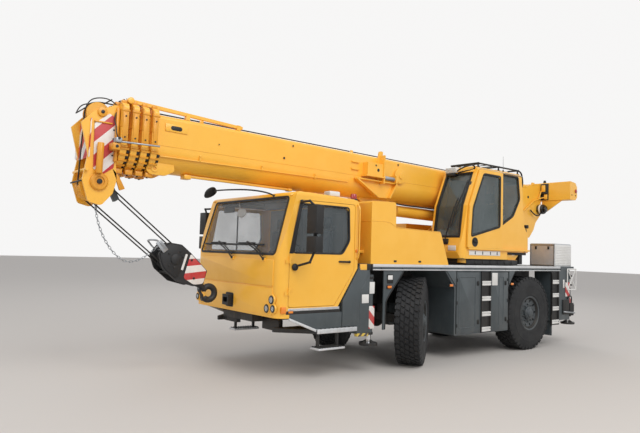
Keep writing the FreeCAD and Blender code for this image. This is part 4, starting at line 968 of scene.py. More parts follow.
def dressRoof():
    # Work lamp, beacon and the oval ramp mirror on its arm; all stay under the boom's sweep
    work = [addBlock("workLampBody", (1.56, 1.76), (1.02, 1.18), (2.725, 2.805), 0.018)]
    work.append(addBlock("workLampFoot", (1.62, 1.7), (1.06, 1.12), (2.69, 2.73), 0.006))
    face = addBlock("workLampFace", (1.75, 1.768), (1.035, 1.165), (2.738, 2.795), 0.01)
    beaconBase = addTurned("beaconBase", [(0.0, 0.0), (0.07, 0.0), (0.07, 0.03), (0.055, 0.036), (0.0, 0.036)], "z",
                           (1.17, 1.05, 2.695), 28)
    beacon = addTurned("beacon", [(0.0, 0.0), (0.052, 0.0), (0.054, 0.045), (0.044, 0.078), (0.0, 0.086)], "z",
                       (1.17, 1.05, 2.731), 28)
    arm = addPath("rampMirrorArm", [(2.43, 0.66, 2.7), (2.5, 0.64, 2.74), (2.75, 0.5, 2.775), (2.86, 0.1, 2.79),
                                    (2.88, -0.25, 2.8), (2.89, -0.4, 2.8)], 0.012)
    foot = addTube("rampMirrorFoot", (2.415, 0.67, 2.67), (2.43, 0.66, 2.715), 0.022, 20, 0.004)
    shell = addBall("rampMirrorShell", (2.89, -0.5, 2.78), 0.125, (0.6, 1.2, 0.5), 28)
    turnPiece(shell, 24, "X", (2.89, -0.5, 2.78))
    rim = addTurned("rampMirrorRim", [(0.088, -0.008), (0.1, -0.008), (0.1, 0.008), (0.088, 0.008)], "z",
                    (0, 0, 0), 40)
    rim.data.transform(Matrix.Diagonal((0.85, 1.5, 1, 1)))
    rim.data.transform(Matrix.Translation((2.885, -0.5, 2.765)) @ Matrix.Rotation(math.radians(24), 4, "X"))
    finishMany([("rampMirror", [arm, foot, shell, rim], finishes["gasket"], "cab_trim"),
                ("roofWorkLamp", work, finishes["signWhite"], "lamp_plastic"),
                ("roofWorkLampFace", [face], finishes["lampGlass"], "lamp_plastic"),
                ("roofBeaconBase", [beaconBase], finishes["gasket"], "cab_trim"),
                ("roofBeacon", [beacon], finishes["redLens"], "lamp_plastic")], "carrier")
    pressings = [addPlate("roofPressing", [(1.4, y - 0.32), (2.25, y - 0.32), (2.25, y + 0.32), (1.4, y + 0.32)], "z",
                          2.69, 2.722, 0.08, 0.012) for y in (0.5, -0.5)]
    for piece in pressings:
        turnPiece(piece, -2.6, "Y", (1.4, 0, 2.7))
    hatch = addPlate("roofHatch", [(1.5, -0.3), (2.1, -0.3), (2.1, 0.3), (1.5, 0.3)], "z", 2.71, 2.745, 0.06, 0.01)
    finishMany([("roofPressings", pressings, finishes["yellowPaint"], "yellow_paint"),
                ("roofHatch", [hatch], finishes["gasket"], "cab_trim")], "carrier")


dressScreen()
dressFront()
placeDoorDress()
dressCabSides()
dressRoof()
print("cab outside dressed")


# The boom, drawn level

boomPlan = {
    "half": 0.3, "top": 3.58, "bellyZ": 3.094, "bellyRadius": 0.294, "collarHalf": 0.358, "collarLow": 2.742,
    "collarRadius": 0.351, "collarFronts": [4.25, 4.39, 4.53, 4.67], "collarLength": 0.085,
    "bodies": ["boom_base", "boom_section_1", "boom_section_2", "boom_section_3"],
}


def onBothSides(make):
    # The left piece is made by the given function, then its mirror image
    left = make()
    return [left, mirrorPiece(left, left.name)]


def dressBoomBase():
    half, top = boomPlan["half"], boomPlan["top"]
    paint, blacks, chrome = [], [], []
    slotPlate = lambda: addPlate("slotPlate", [(3.71, 3.362), (4.05, 3.362), (4.05, 3.47), (3.71, 3.47)], "y",
                                 half - 0.004, half + 0.014, 0.012, 0.003)
    # A black plate on the slot plate paints the shade inside its slot
    slotHoleShadow = lambda: addPlate("slotHoleShadow", [(3.8, 3.385), (3.97, 3.385), (3.97, 3.447), (3.8, 3.447)], "y",
                                half + 0.008, half + 0.016, 0.03, 0.001)
    paint += onBothSides(slotPlate)
    blacks += onBothSides(slotHoleShadow)
    for x, z, radius in ((1.855, 3.486, 0.016), (2.021, 3.264, 0.02), (-0.606, 3.502, 0.02), (3.2, 3.3, 0.01),
                         (-2.2, 3.35, 0.016)):
        paint += onBothSides(lambda: addTurned("portRim", [(radius, -0.002), (radius + 0.008, -0.002),
                                                           (radius + 0.008, 0.006), (radius, 0.006)], "y",
                                               (x, half, z), 24))
        blacks += onBothSides(lambda: addTube("port", (x, half - 0.004, z), (x, half + 0.0035, z), radius, 20))
    for z in (3.4, 3.27):
        paint += onBothSides(lambda: addBlock("sidePad", (0.4, 0.575), (half - 0.002, half + 0.03), (z, z + 0.03),
                                              0.006))
    # The folded ledge along the belly with its clips, and the long weld above it
    paint += onBothSides(lambda: addPlate("sideLedge", [(0.64, 3.046), (4.1, 3.005), (4.1, 2.99), (0.64, 3.031)],
                                          "y", half - 0.012, half + 0.012, 0, 0.002))
    for x in (3.498, 2.435, 1.382):
        paint += onBothSides(lambda: addBlock("clip", (x - 0.012, x + 0.012), (half - 0.002, half + 0.02),
                                              (3.005, 3.09), 0.003))
        paint += onBothSides(lambda: addTube("clipPin", (x, half, 3.075), (x, half + 0.032, 3.075), 0.012, 12,
                                             0.002))
    paint += onBothSides(lambda: addTube("seamWeld", (-1.9, half, 3.2), (4.16, half, 3.15), 0.0045, 8))
    paint += onBothSides(lambda: addTube("rearWeld", (-3.85, half, 3.2), (-1.9, half, 3.2), 0.0045, 8))
    # End boss of the square tube, the rail and its feet under the belly
    paint.append(addTube("tubeBoss", (4.545, 0.18, top + 0.11), (4.545, 0.3, top + 0.11), 0.045, 24, 0.005))
    paint.append(addBlock("bellyRail", (1.75, 3.57), (0.07, 0.13), (2.775, 2.81), 0.006))
    paint.append(addBlock("bellyFoot", (3.55, 3.66), (0.03, 0.17), (2.745, 2.81), 0.01))
    paint.append(addBlock("bellyFoot", (1.72, 1.8), (0.05, 0.15), (2.765, 2.81), 0.008))
    # Ports, roller and hub on the jib bracket in front of the crane cab
    blacks.append(addTube("jibPort", (0.03, half + 0.12, 3.31), (0.03, half + 0.134, 3.31), 0.028, 20))
    blacks.append(addTube("jibPort", (0.09, half + 0.12, 3.39), (0.09, half + 0.134, 3.39), 0.016, 20))
    chrome.append(addTube("guideRoller", (-0.41, half + 0.1, 3.192), (-0.1, half + 0.1, 3.192), 0.039, 28, 0.006))
    blacks.append(addTube("rollerPin", (-0.45, half + 0.1, 3.192), (-0.06, half + 0.1, 3.192), 0.014, 16))
    paint.append(addTurned("roundHub", [(0.0, 0.036), (0.142, 0.036), (0.135, 0.046), (0.06, 0.05), (0.05, 0.066),
                                        (0.0, 0.066)], "y", (-0.645, half, 3.29), 40))
    # Standing edges of the lug plates round the luffing eye
    for start, end in (((0.5, 3.118), (-0.03, 2.835)), ((-0.5, 3.118), (-0.33, 2.835))):
        run = (Vector((end[0], 0, end[1])) - Vector((start[0], 0, start[1])))
        across = Vector((-run.z, 0, run.x)).normalized() * 0.014
        corners = [(start[0] - across.x, start[1] - across.z), (end[0] - across.x, end[1] - across.z),
                   (end[0] + across.x, end[1] + across.z), (start[0] + across.x, start[1] + across.z)]
        paint += onBothSides(lambda: addPlate("lugEdge", corners, "y", half + 0.01, half + 0.1, 0, 0.004))
    paint += onBothSides(lambda: addBlock("lugShelf", (-0.5, 0.5), (half + 0.01, half + 0.1), (3.108, 3.132), 0.004))
    hoses = [addPath("luffHose", [(-0.75, 0.12, 2.79), (-0.95, 0.13, 2.775), (-1.5, 0.13, 2.78), (-2.2, 0.12, 2.775),
                                  (-3.0, 0.13, 2.78), (-3.5, 0.12, 2.79)], 0.014),
             addPath("luffHose", [(-0.75, -0.12, 2.79), (-0.95, -0.13, 2.775), (-1.5, -0.13, 2.78),
                                  (-2.2, -0.12, 2.775), (-3.0, -0.13, 2.78), (-3.5, -0.12, 2.79)], 0.014)]
    # The hoist rope lies along the top plate over three guide rollers
    rope = addTube("topRope", (-3.75, 0.0, top + 0.075), (4.2, 0.0, top + 0.075), 0.01, 10)
    for x in (-2.9, 0.4, 3.4):
        paint += onBothSides(lambda: addBlock("ropeGuide", (x - 0.03, x + 0.03), (0.09, 0.105),
                                              (top - 0.004, top + 0.08), 0.004))
        chrome.append(addTube("ropeRoller", (x, -0.095, top + 0.035), (x, 0.095, top + 0.035), 0.029, 20, 0.003))
    finishMany([("boomFittings", paint, finishes["yellowPaint"], "yellow_paint"),
                ("boomPortsAndShade", blacks, finishes["gasket"], "black_steel"),
                ("boomRollers", chrome, finishes["galvanised"], "cylinder_rod"),
                ("boomHoses", hoses, finishes["gasket"], "cab_trim"),
                ("boomTopRope", [rope], finishes["wireRope"], "steel_rope")], "boom_base", onBoom=True)


def dressCollar(number):
    front = boomPlan["collarFronts"][number]
    back = front - boomPlan["collarLength"]
    half, low, radius = boomPlan["collarHalf"], boomPlan["collarLow"], boomPlan["collarRadius"]
    top = boomPlan["top"] + 0.058
    middle = (front + back) / 2
    centreZ = low + radius
    paint, dark = [], []
    for y in (-0.25, -0.1, 0.1, 0.25):
        paint.append(addBlock("adjuster", (back + 0.008, front - 0.008), (y - 0.035, y + 0.035), (top - 0.004,
                     top + (0.03 if abs(y) < 0.2 else 0.045)), 0.006))
        dark.append(addTube("adjusterBolt", (middle, y, top + 0.02), (middle, y, top + 0.06), 0.013, 6, 0.002))
    for side in (-1, 1):
        paint.append(addBlock("sidePlate", (back + 0.01, front - 0.01), (side * (half - 0.002), side * (half + 0.014)),
                              (3.12, 3.5), 0.004))
        for z in (3.17, 3.45):
            dark.append(addTube("sideBolt", (middle, side * (half + 0.01), z), (middle, side * (half + 0.024), z),
                                0.012, 6, 0.002))
        for z in (3.05, 3.53):
            paint.append(addBlock("sideStop", (back - 0.012, front + 0.006), (side * (half - 0.02), side * (half + 0.01)),
                                  (z - 0.014, z + 0.014), 0.004))
    # Gusset ribs round the belly, with slim dark pads between them
    for n in range(13):
        angle = math.radians(-12 - n * 13)
        rib = addBlock("gusset", (back - 0.03, front), (-0.012, 0.012), (radius - 0.004, radius + 0.02), 0.003)
        rib.data.transform(Matrix.Translation((0, 0, centreZ)) @ Matrix.Rotation(angle - math.pi / 2, 4, "X"))
        paint.append(rib)
    for n in range(12):
        angle = math.radians(-18.5 - n * 13)
        pad = addBlock("bellyPad", (back - 0.05, back - 0.004), (-0.02, 0.02), (radius - 0.05, radius - 0.012), 0.003)
        pad.data.transform(Matrix.Translation((0, 0, centreZ)) @ Matrix.Rotation(angle - math.pi / 2, 4, "X"))
        dark.append(pad)
    for side in (-1, 1):
        foot = addBlock("collarFoot", (back - 0.012, front + 0.004), (side * 0.08, side * 0.21), (low - 0.042, low + 0.02),
                        0.01)
        paint.append(foot)
        dark.append(addTube("footBolt", (middle, side * 0.145, low - 0.055), (middle, side * 0.145, low - 0.04), 0.014,
                            6, 0.002))
    lip = addFrame("collarLip", [(half + 0.006, 3.3), (half + 0.006, 3.59), (0.3, top + 0.004), (-0.3, top + 0.004),
                                 (-half - 0.006, 3.59), (-half - 0.006, 3.3)], "x", front - 0.012, front + 0.004,
                   0.018, 0, 0.003)
    paint.append(lip)
    # The collar fittings take the darker orange copy of the yellow paint, which is painted shade
    finishMany([("collarDress_%d" % number, paint, finishes["headShadedPaint"], "yellow_paint"),
                ("collarBolts_%d" % number, dark, finishes["blackSteel"], "black_steel")],
               boomPlan["bodies"][number], onBoom=True)


def dressBaseSnout():
    # Cast eye plate low on the base section's mouth, with its boss
    plate = onBothSides(lambda: addPlate("mouthEye", [(4.24, 2.93), (3.86, 2.93), (3.84, 2.82), (3.98, 2.74),
                                                      (4.2, 2.74), (4.26, 2.8)], "y", 0.2, 0.235, 0.03, 0.006))
    bosses = onBothSides(lambda: addTurned("mouthBoss", [(0.022, -0.004), (0.05, -0.004), (0.05, 0.014),
                                                         (0.022, 0.014)], "y", (4.14, 0.235, 2.83), 24))
    finishMany([("mouthEyes", plate + bosses, finishes["yellowPaint"], "yellow_paint")], "boom_base", onBoom=True)


def dressHead():
    cheek = 0.235
    paint, darks, chrome = [], [], []
    side = [(4.705, 3.42), (4.8, 3.47), (4.985, 3.31), (4.965, 2.72), (4.85, 2.65), (4.705, 2.76)]
    for y, name in ((1, "headSide_left"), (-1, "headSide_right")):
        panel = addPlate(name, side, "y", y * (cheek + 0.006), y * (cheek + 0.012), 0.01, 0.001)
        finishPiece(panel, finishes["headSideStripes"], "boom_section_3", onBoom=True)
    frontPanel = addPlate("headFront", [(-0.27, 2.86), (0.27, 2.86), (0.27, 3.37), (-0.27, 3.37)], "x", 5.028, 5.034,
                          0.01, 0.001)
    wing = addPlate("headWing", [(-0.4, 2.9), (-0.27, 2.86), (-0.27, 3.37), (-0.38, 3.33)], "x", 5.02, 5.026, 0.01,
                    0.001)
    finishPiece(joinPieces("headFront", [frontPanel, wing]), finishes["headStripes"], "boom_section_3",
                onBoom=True)
    for y in (-1, 1):
        paint.append(addTube("headPost", (4.905, y * 0.3, 2.66), (4.905, y * 0.3, 3.06), 0.042, 28, 0.006))
        for z in (2.7, 3.0):
            paint.append(addBlock("postFoot", (4.87, 4.94), (y * 0.23, y * 0.3), (z - 0.02, z + 0.02), 0.004))
        lowBoss = addTurned("lowBoss", [(0.0, 0.0), (0.115, 0.0), (0.115, 0.03), (0.1, 0.042), (0.066, 0.044),
                                        (0.06, 0.03), (0.0, 0.03)], "y", (4.88, cheek, 2.56), 36)
        paint.append(lowBoss if y > 0 else mirrorPiece(lowBoss, "lowBoss"))
        if y < 0:
            bpy.data.objects.remove(lowBoss)
        darks.append(addTube("lowPin", (4.88, y * 0.25, 2.56), (4.88, y * 0.283, 2.56), 0.034, 20, 0.004))
        paint.append(addTube("topBoss", (4.895, y * 0.23, 3.475), (4.895, y * 0.262, 3.475), 0.062, 28, 0.006))
        darks.append(addTube("topPin", (4.895, y * 0.26, 3.475), (4.895, y * 0.272, 3.475), 0.026, 6, 0.003))
        # Ears that guide the rope behind the low sheaves
        paint.append(addPlate("backEar", [(4.66, 2.62), (4.72, 2.76), (4.62, 2.66), (4.53, 2.5), (4.6, 2.47)], "y",
                              y * (cheek - 0.03), y * cheek, 0.012, 0.003))
        paint.append(addBlock("headRib", (4.68, 4.72), (y * 0.23, y * 0.29), (2.84, 3.56), 0.005))
        paint.append(addBlock("headRib", (4.76, 4.99), (y * 0.23, y * 0.262), (3.33, 3.35), 0.004))
        for z in (2.92, 3.02, 3.14, 3.26):
            darks.append(addTube("headBolt", (4.735, y * 0.24, z), (4.735, y * 0.256, z), 0.011, 6, 0.002))
    # Sheave guards above and in front, each a bent wire rod
    for y in (-0.21, 0.21):
        darks.append(addPath("ropeGuard", [(4.7, y, 3.6), (4.78, y, 3.67), (4.95, y, 3.665), (5.07, y, 3.6),
                                           (5.1, y, 3.5)], 0.008))
    darks.append(addTube("guardBar", (5.1, -0.22, 3.5), (5.1, 0.22, 3.5), 0.009, 12))
    darks.append(addTube("guardBar", (4.78, -0.22, 3.665), (4.78, 0.22, 3.665), 0.009, 12))
    darks.append(addTube("guardBar", (5.1, -0.22, 2.55), (5.1, 0.22, 2.55), 0.011, 12))
    # Camera and sensor boxes on the near cheek, then the measuring rod that runs back over the collars
    chrome.append(addTube("reachRod", (4.7, 0.42, 3.09), (4.16, 0.42, 3.107), 0.0125, 16, 0.002))
    paint.append(addBlock("sensorBox", (4.69, 4.79), (0.26, 0.42), (2.98, 3.07), 0.008))
    darks.append(addTube("sensorEye", (4.735, 0.415, 3.025), (4.735, 0.426, 3.025), 0.02, 20))
    chrome.append(addBlock("sensorPlug", (4.68, 4.76), (0.33, 0.44), (3.075, 3.14), 0.008))
    darks.append(addTube("sensorPlugEye", (4.72, 0.435, 3.13), (4.72, 0.446, 3.13), 0.018, 20))
    darks.append(addPath("headCable", [(4.7, 0.34, 3.13), (4.74, 0.36, 3.22), (4.72, 0.3, 3.3), (4.75, 0.27, 3.4),
                                       (4.72, 0.26, 3.5)], 0.008))
    paint.append(addBlock("topBracket", (4.5, 4.72), (0.1, 0.2), (3.6, 3.66), 0.008))
    darks.append(addBlock("topBracketPad", (4.54, 4.66), (0.11, 0.19), (3.66, 3.69), 0.008))
    darks.append(addTube("aerialStub", (4.56, 0.15, 3.69), (4.56, 0.15, 3.74), 0.006, 10))
    # Fixed end of the hoist rope: its socket hangs behind the low sheaves
    socket = addPlate("switchWeight", [(4.69, 2.52), (4.625, 2.55), (4.53, 2.375), (4.59, 2.33)], "y", -0.05, 0.05,
                      0.008, 0.006)
    weightTop = addTube("weightEye", (4.66, -0.03, 2.545), (4.66, 0.03, 2.545), 0.035, 20, 0.004)
    # The head's fittings take the darker orange copy of the yellow paint, which is painted shade
    finishMany([("headFittings", paint, finishes["headShadedPaint"], "yellow_paint"),
                ("headHardware", darks, finishes["blackSteel"], "black_steel"),
                ("headBright", chrome, finishes["galvanised"], "bare_aluminium"),
                ("switchWeight", [socket, weightTop], finishes["greyPaint"], "dark_grey_paint")],
               "boom_section_3", onBoom=True)
    fallRope = addTube("fallRope", (5.062, 0.035, 3.475), (5.085, 0.035, 2.5), 0.01, 12)
    overRope = addPath("overRope", [(4.3, 0.0, 3.655), (4.6, 0.0, 3.655), (4.8, 0.01, 3.655), (4.9, 0.02, 3.645),
                                    (5.02, 0.03, 3.6), (5.058, 0.035, 3.52), (5.062, 0.035, 3.47)], 0.01)
    finishMany([("headRope", [fallRope, overRope], finishes["wireRope"], "steel_rope")], "boom_section_3",
               onBoom=True)


blockPlan = {"place": (3.745, 0, 1.71), "swing": 51.42, "cheek": 0.165}


def hangOnRopes(piece):
    turnPiece(piece, blockPlan["swing"], "Y", (0, 0, 0))
    piece.data.transform(Matrix.Translation(blockPlan["place"]))
    return piece


def dressHookBlock():
    cheek = blockPlan["cheek"]
    stripes, steel, bright = [], [], []
    # The cheek's outline below its sheave axle
    lower = [(-0.212, -0.13), (0.125, -0.27), (0.1, -0.46), (-0.004, -0.568), (-0.182, -0.492)]
    for y in (-1, 1):
        stripes.append(addPlate("blockStripe", lower, "y", y * (cheek + 0.001), y * (cheek + 0.008), 0.03, 0.002))
        steel.append(addPlate("cheekRim", [(-0.2, -0.1), (0.2, -0.2), (0.205, 0.05), (0.1, 0.228), (-0.1, 0.228), (-0.205, 0.05)], "y",
                              y * cheek, y * (cheek + 0.012), 0.05, 0.004))
        steel.append(addTurned("axleCap", [(0.0, 0.0), (0.075, 0.0), (0.075, 0.02), (0.06, 0.03), (0.0, 0.03)], "y",
                               (0, 0, 0), 28))
        steel[-1].data.transform(Matrix.Translation((0, y * (cheek + 0.01) + (0 if y > 0 else -0.03), 0)))
        for x, z in ((-0.13, 0.02), (0.13, 0.02), (0.0, 0.13), (-0.1, -0.06), (0.1, -0.06)):
            steel.append(addTube("blockBolt", (x, y * (cheek + 0.01), z), (x, y * (cheek + 0.026), z), 0.016, 6, 0.002))
        for x, z in ((-0.15, -0.2), (0.03, -0.4)):
            steel.append(addTube("stripeBolt", (x, y * (cheek + 0.004), z), (x, y * (cheek + 0.018), z), 0.018, 6,
                                 0.002))
        bright.append(addPlate("blankStrip", [(-0.17, -0.1), (0.05, -0.19), (0.063, -0.158), (-0.157, -0.068)], "y",
                               y * (cheek + 0.011), y * (cheek + 0.0145), 0.008, 0.001))
    # Slotted covers wrap the sheaves between the cheeks
    cover = addTurned("ropeCover", [(0.196, -0.14), (0.212, -0.14), (0.212, 0.14), (0.196, 0.14)], "y", (0, 0, 0), 56)
    pickPiece(cover)
    bpy.ops.object.mode_set(mode="EDIT")
    bpy.ops.mesh.select_all(action="SELECT")
    bpy.ops.mesh.bisect(plane_co=(0, 0, -0.02), plane_no=(0, 0, 1), clear_outer=True, use_fill=True)
    bpy.ops.object.mode_set(mode="OBJECT")
    steel.append(cover)
    for n in range(-3, 4):
        ring = addTurned("coverRib", [(0.21, n * 0.04 - 0.006), (0.222, n * 0.04 - 0.006), (0.222, n * 0.04 + 0.006),
                                      (0.21, n * 0.04 + 0.006)], "y", (0, 0, 0), 56)
        pickPiece(ring)
        bpy.ops.object.mode_set(mode="EDIT")
        bpy.ops.mesh.select_all(action="SELECT")
        bpy.ops.mesh.bisect(plane_co=(0, 0, -0.03), plane_no=(0, 0, 1), clear_outer=True, use_fill=True)
        bpy.ops.object.mode_set(mode="OBJECT")
        steel.append(ring)
    # Swivel nut, thrust housing and the hook's latch
    steel.append(addTurned("thrustHousing", [(0.0, -0.43), (0.085, -0.43), (0.1, -0.45), (0.1, -0.5), (0.075, -0.53),
                                             (0.055, -0.58), (0.0, -0.58)], "z", (0, 0, 0), 32))
    latch = addPlate("hookLatch", [(0.045, -0.665), (0.07, -0.65), (0.14, -0.785), (0.115, -0.8)], "y", -0.022,
                     0.022, 0.008, 0.003)
    steel.append(latch)
    steel.append(addTube("latchPin", (0.05, -0.05, -0.664), (0.05, 0.05, -0.664), 0.011, 16))
    for name, pieces, finish, slot in (("blockStripePlates", stripes, "blockStripes", "yellow_paint"),
                                       ("blockHardware", steel, "blackSteel", "black_steel"),
                                       ("blockBlankStrips", bright, "signWhite", "bare_aluminium")):
        finishPiece(hangOnRopes(joinPieces(name, pieces)), finishes[finish], "boom_section_3")
    ring = addPath("ropeYoke", [(4.0, -0.2, 1.945), (3.94, -0.2, 1.875), (3.87, -0.18, 1.83), (3.87, 0.18, 1.83),
                                (3.94, 0.2, 1.875), (4.0, 0.2, 1.945), (4.04, 0.16, 1.975), (4.04, -0.16, 1.975)], 0.013,
                   3, 3, 6, True)
    plate = addPlate("yokePlate", [(3.87, 1.845), (3.98, 1.975), (4.06, 1.93), (3.94, 1.795)], "y", 0.185, 0.2, 0.01,
                     0.003)
    finishPiece(joinPieces("ropeYoke", [ring, plate]), finishes["galvanised"], "boom_section_3")


def hangChain():
    # Links along a slack curve from the head's low plate to the yoke on the ropes
    clearSelection()
    route = [(4.86, 0.05, 2.4), (4.845, 0.05, 2.3), (4.8, 0.05, 2.13), (4.7, 0.05, 1.92), (4.56, 0.05, 1.745),
             (4.4, 0.05, 1.65), (4.22, 0.05, 1.69), (4.08, 0.05, 1.785), (3.98, 0.05, 1.875)]
    bpy.ops.curve.primitive_nurbs_path_add()
    curve = newPiece("chainRoute")
    spline = curve.data.splines[0]
    spline.points.add(len(route) - len(spline.points))
    for point, place in zip(spline.points, route):
        point.co = (*place, 1)
    spline.order_u = 3
    spline.use_endpoint_u = True
    spline.resolution_u = 24
    line = bpy.data.meshes.new_from_object(curve.evaluated_get(bpy.context.evaluated_depsgraph_get()))
    places = [vertex.co.copy() for vertex in line.vertices]
    bpy.data.objects.remove(curve)
    links, pitch, travelled = [], 0.046, 0.0
    clearSelection()
    bpy.ops.mesh.primitive_torus_add(major_segments=14, minor_segments=6, major_radius=0.02, minor_radius=0.0055)
    model = newPiece("chainLink")
    model.data.transform(Matrix.Rotation(math.pi / 2, 4, "X"))
    model.data.transform(Matrix.Diagonal((0.72, 1, 1.35, 1)))
    count = 0
    for start, end in zip(places, places[1:]):
        run = end - start
        while travelled <= run.length:
            place = start + run.normalized() * travelled
            link = copyPiece(model, "chainLink")
            turn = run.to_track_quat("Z", "Y").to_matrix().to_4x4()
            link.data.transform(Matrix.Translation(place) @ turn @ Matrix.Rotation(math.pi / 2 * (count % 2), 4, "Z"))
            links.append(link)
            count += 1
            travelled += pitch
        travelled -= run.length
    bpy.data.objects.remove(model)
    shackle = addPath("chainShackle", [(4.85, 0.02, 2.44), (4.85, 0.02, 2.38), (4.85, 0.05, 2.355),
                                       (4.85, 0.08, 2.38), (4.85, 0.08, 2.44)], 0.008)
    finishPiece(joinPieces("headChain", links + [shackle]), finishes["galvanised"], "boom_section_3",
                60)


dressBoomBase()
for sectionNumber in range(4):
    dressCollar(sectionNumber)
dressBaseSnout()
dressHead()
dressHookBlock()
hangChain()
print("boom, head and hook block dressed")


# The crane cab, and the seats in both cabs

craneCab = {
    "front": -1.41, "rear": -3.64, "top": 3.6, "inner": 0.42, "outer": 1.2, "floor": 1.83,
    "screenPoints": [(-1.459, 2.24), (-1.545, 2.83), (-1.828, 3.48)],
    "doorWindow": [(-1.64, 2.262), (-2.517, 2.474), (-2.517, 3.45), (-1.985, 3.45), (-1.68, 2.8)],
    "rearWindow": [(-2.68, 2.515), (-2.68, 3.52), (-3.215, 3.52), (-3.28, 3.07), (-3.06, 2.715)],
}


def alongScreen(name, y, halfWidth, outward, inward):
    # A strip on the windscreen from its sill to its top, which follows the bend in the glass
    line = craneCab["screenPoints"]
    corners = [(x + outward, z) for x, z in line] + [(x - inward, z) for x, z in reversed(line)]
    return addPlate(name, corners, "y", y - halfWidth, y + halfWidth, 0, 0.002)


def grownFrom(corners, margin):
    centreX = sum(x for x, z in corners) / len(corners)
    centreZ = sum(z for x, z in corners) / len(corners)
    halfX = max(abs(x - centreX) for x, z in corners)
    halfZ = max(abs(z - centreZ) for x, z in corners)
    return [(centreX + (x - centreX) * (1 + margin / halfX), centreZ + (z - centreZ) * (1 + margin / halfZ))
            for x, z in corners]


def dressCraneScreen():
    low, high = craneCab["screenPoints"][0], craneCab["screenPoints"][-1]
    gasket = [alongScreen("screenSide", 0.497, 0.022, 0.008, 0.03), alongScreen("screenSide", 1.096, 0.022, 0.008, 0.03)]
    for x, z in (low, high):
        gasket.append(addBlock("screenBar", (x - 0.03, x + 0.009), (0.48, 1.112), (z - 0.022, z + 0.022), 0.004))
    middle = craneCab["screenPoints"][1]
    arm = addPath("craneWiperArm", [(low[0] + 0.03, 0.78, 2.17), (low[0] + 0.03, 0.82, 2.3),
                                    (middle[0] + 0.075, 0.93, 2.72), (middle[0] - 0.0, 1.0, 2.98)], 0.011)
    blade = addPath("craneWiperBlade", [(-1.468, 0.9, 2.45), (middle[0] + 0.022, 0.985, 2.83),
                                        (-1.63, 1.03, 3.05), (-1.745, 1.06, 3.32)], 0.013)
    pump = addBlock("wiperBox", (low[0] - 0.01, low[0] + 0.05), (0.7, 0.86), (2.09, 2.2), 0.012)
    lip = addPlate("roofLip", [(-1.79, 3.49), (-1.83, 3.6), (-1.9, 3.62), (-1.86, 3.5)], "y", 0.46, 1.14, 0.01, 0.006)
    finishMany([("craneScreenGasket", gasket, finishes["gasket"], "cab_trim"),
                ("craneWiper", [arm, blade, pump], finishes["gasket"], "black_steel"),
                ("craneRoofLip", [lip], finishes["yellowPaint"], "yellow_paint")], "upper_works")
    # Work lamp and bow mirror over the windscreen
    lamp = addBlock("craneLampHead", (-1.88, -1.75), (0.5, 0.78), (3.5, 3.615), 0.02)
    face = addPlate("craneLampFace", [(0.52, 3.515), (0.76, 3.515), (0.76, 3.6), (0.52, 3.6)], "x", -1.752, -1.746,
                    0.01, 0.001)
    hood = addBlock("craneLampLow", (-1.83, -1.73), (0.53, 0.74), (3.435, 3.502), 0.02)
    bow = addPath("mirrorBow", [(-1.76, 0.79, 3.53), (-1.74, 0.9, 3.575), (-1.74, 1.08, 3.61), (-1.78, 1.15, 3.62),
                                (-1.82, 1.17, 3.57), (-1.82, 1.12, 3.535), (-1.8, 0.95, 3.52), (-1.78, 0.8, 3.5)],
                  0.014, 3)
    bowGlass = addBall("screenCamera", (-1.93, 0.84, 3.25), 0.055, (1, 1.1, 0.9), 20)
    finishMany([("craneLampHead", [lamp], finishes["signWhite"], "lamp_plastic"),
                ("craneLampFace", [face], finishes["lampGlass"], "lamp_plastic"),
                ("craneMirrorBow", [bow, hood, bowGlass], finishes["gasket"], "cab_trim")], "upper_works")


def dressCraneDoor():
    window = craneCab["doorWindow"]
    pane = addPlate("craneDoorPane", grownFrom(window, 0.012), "y", 1.226, 1.232, 0.05)
    gasket = addFrame("craneDoorGasket", grownFrom(window, 0.03), "y", 1.236, 1.253, 0.036, 0.05, 0.003)
    innerRim = addFrame("craneDoorGasket", grownFrom(window, 0.02), "y", 1.2095, 1.214, 0.03, 0.05, 0.001)
    cup = addTurned("handleCup", [(0.0, 0.001), (0.062, 0.001), (0.074, 0.006), (0.088, 0.006), (0.088, -0.004),
                                  (0.0, -0.004)], "y", (-1.735, 1.247, 2.147), 36)
    lever = addPlate("handleLever", [(-1.8, 2.13), (-1.68, 2.15), (-1.68, 2.19), (-1.8, 2.165)], "y", 1.25, 1.268,
                     0.012, 0.005)
    rows = [("craneDoorPane", [pane], finishes["craneGlass"], "clear_glass"),
            ("craneDoorGasket", [gasket, innerRim], finishes["gasket"], "cab_trim"),
            ("craneDoorHandle", [cup, lever], finishes["gasket"], "cab_trim")]
    finishMany(rows, "crane_door")
    rear = grownFrom(craneCab["rearWindow"], 0.022)
    band = addFrame("rearWindowGasket", rear, "y", 1.188, 1.2045, 0.032, 0.05, 0.003)
    shade = addBlock("rearWindowShade", (-3.2, -2.69), (1.172, 1.178), (3.38, 3.5), 0.002)
    rail = addBlock("doorTopRail", (-3.36, -1.92), (1.2, 1.214), (3.548, 3.562), 0.004)
    labels = [addBlock("paneLabel", (-2.76, -2.7), (1.17, 1.172), (2.84, 2.92), 0.0005),
              addBlock("paneLabel", (-2.78, -2.71), (1.17, 1.172), (2.63, 2.71), 0.0005)]
    strip = [addBlock("sillStrip", (-2.61, -1.62), (1.2, 1.208), (1.9, 1.99), 0.003),
             addBlock("frontStrip", (-1.412, -1.402), (0.88, 1.06), (1.975, 2.07), 0.003)]
    marks = [addBlock("sillMark", (x, x + 0.03), (1.206, 1.2095), (1.915, 1.975), 0.001)
             for x in (-2.52, -2.3, -2.05, -1.82)]
    finishMany([("rearWindowGasket", [band, shade], finishes["gasket"], "cab_trim"),
                ("craneDoorRail", [rail], finishes["galvanised"], "bare_aluminium"),
                ("craneBlankPlates", labels + strip, finishes["signWhite"], "bare_aluminium"),
                ("craneSillClips", marks, finishes["greyPaint"], "dark_grey_paint")], "upper_works")


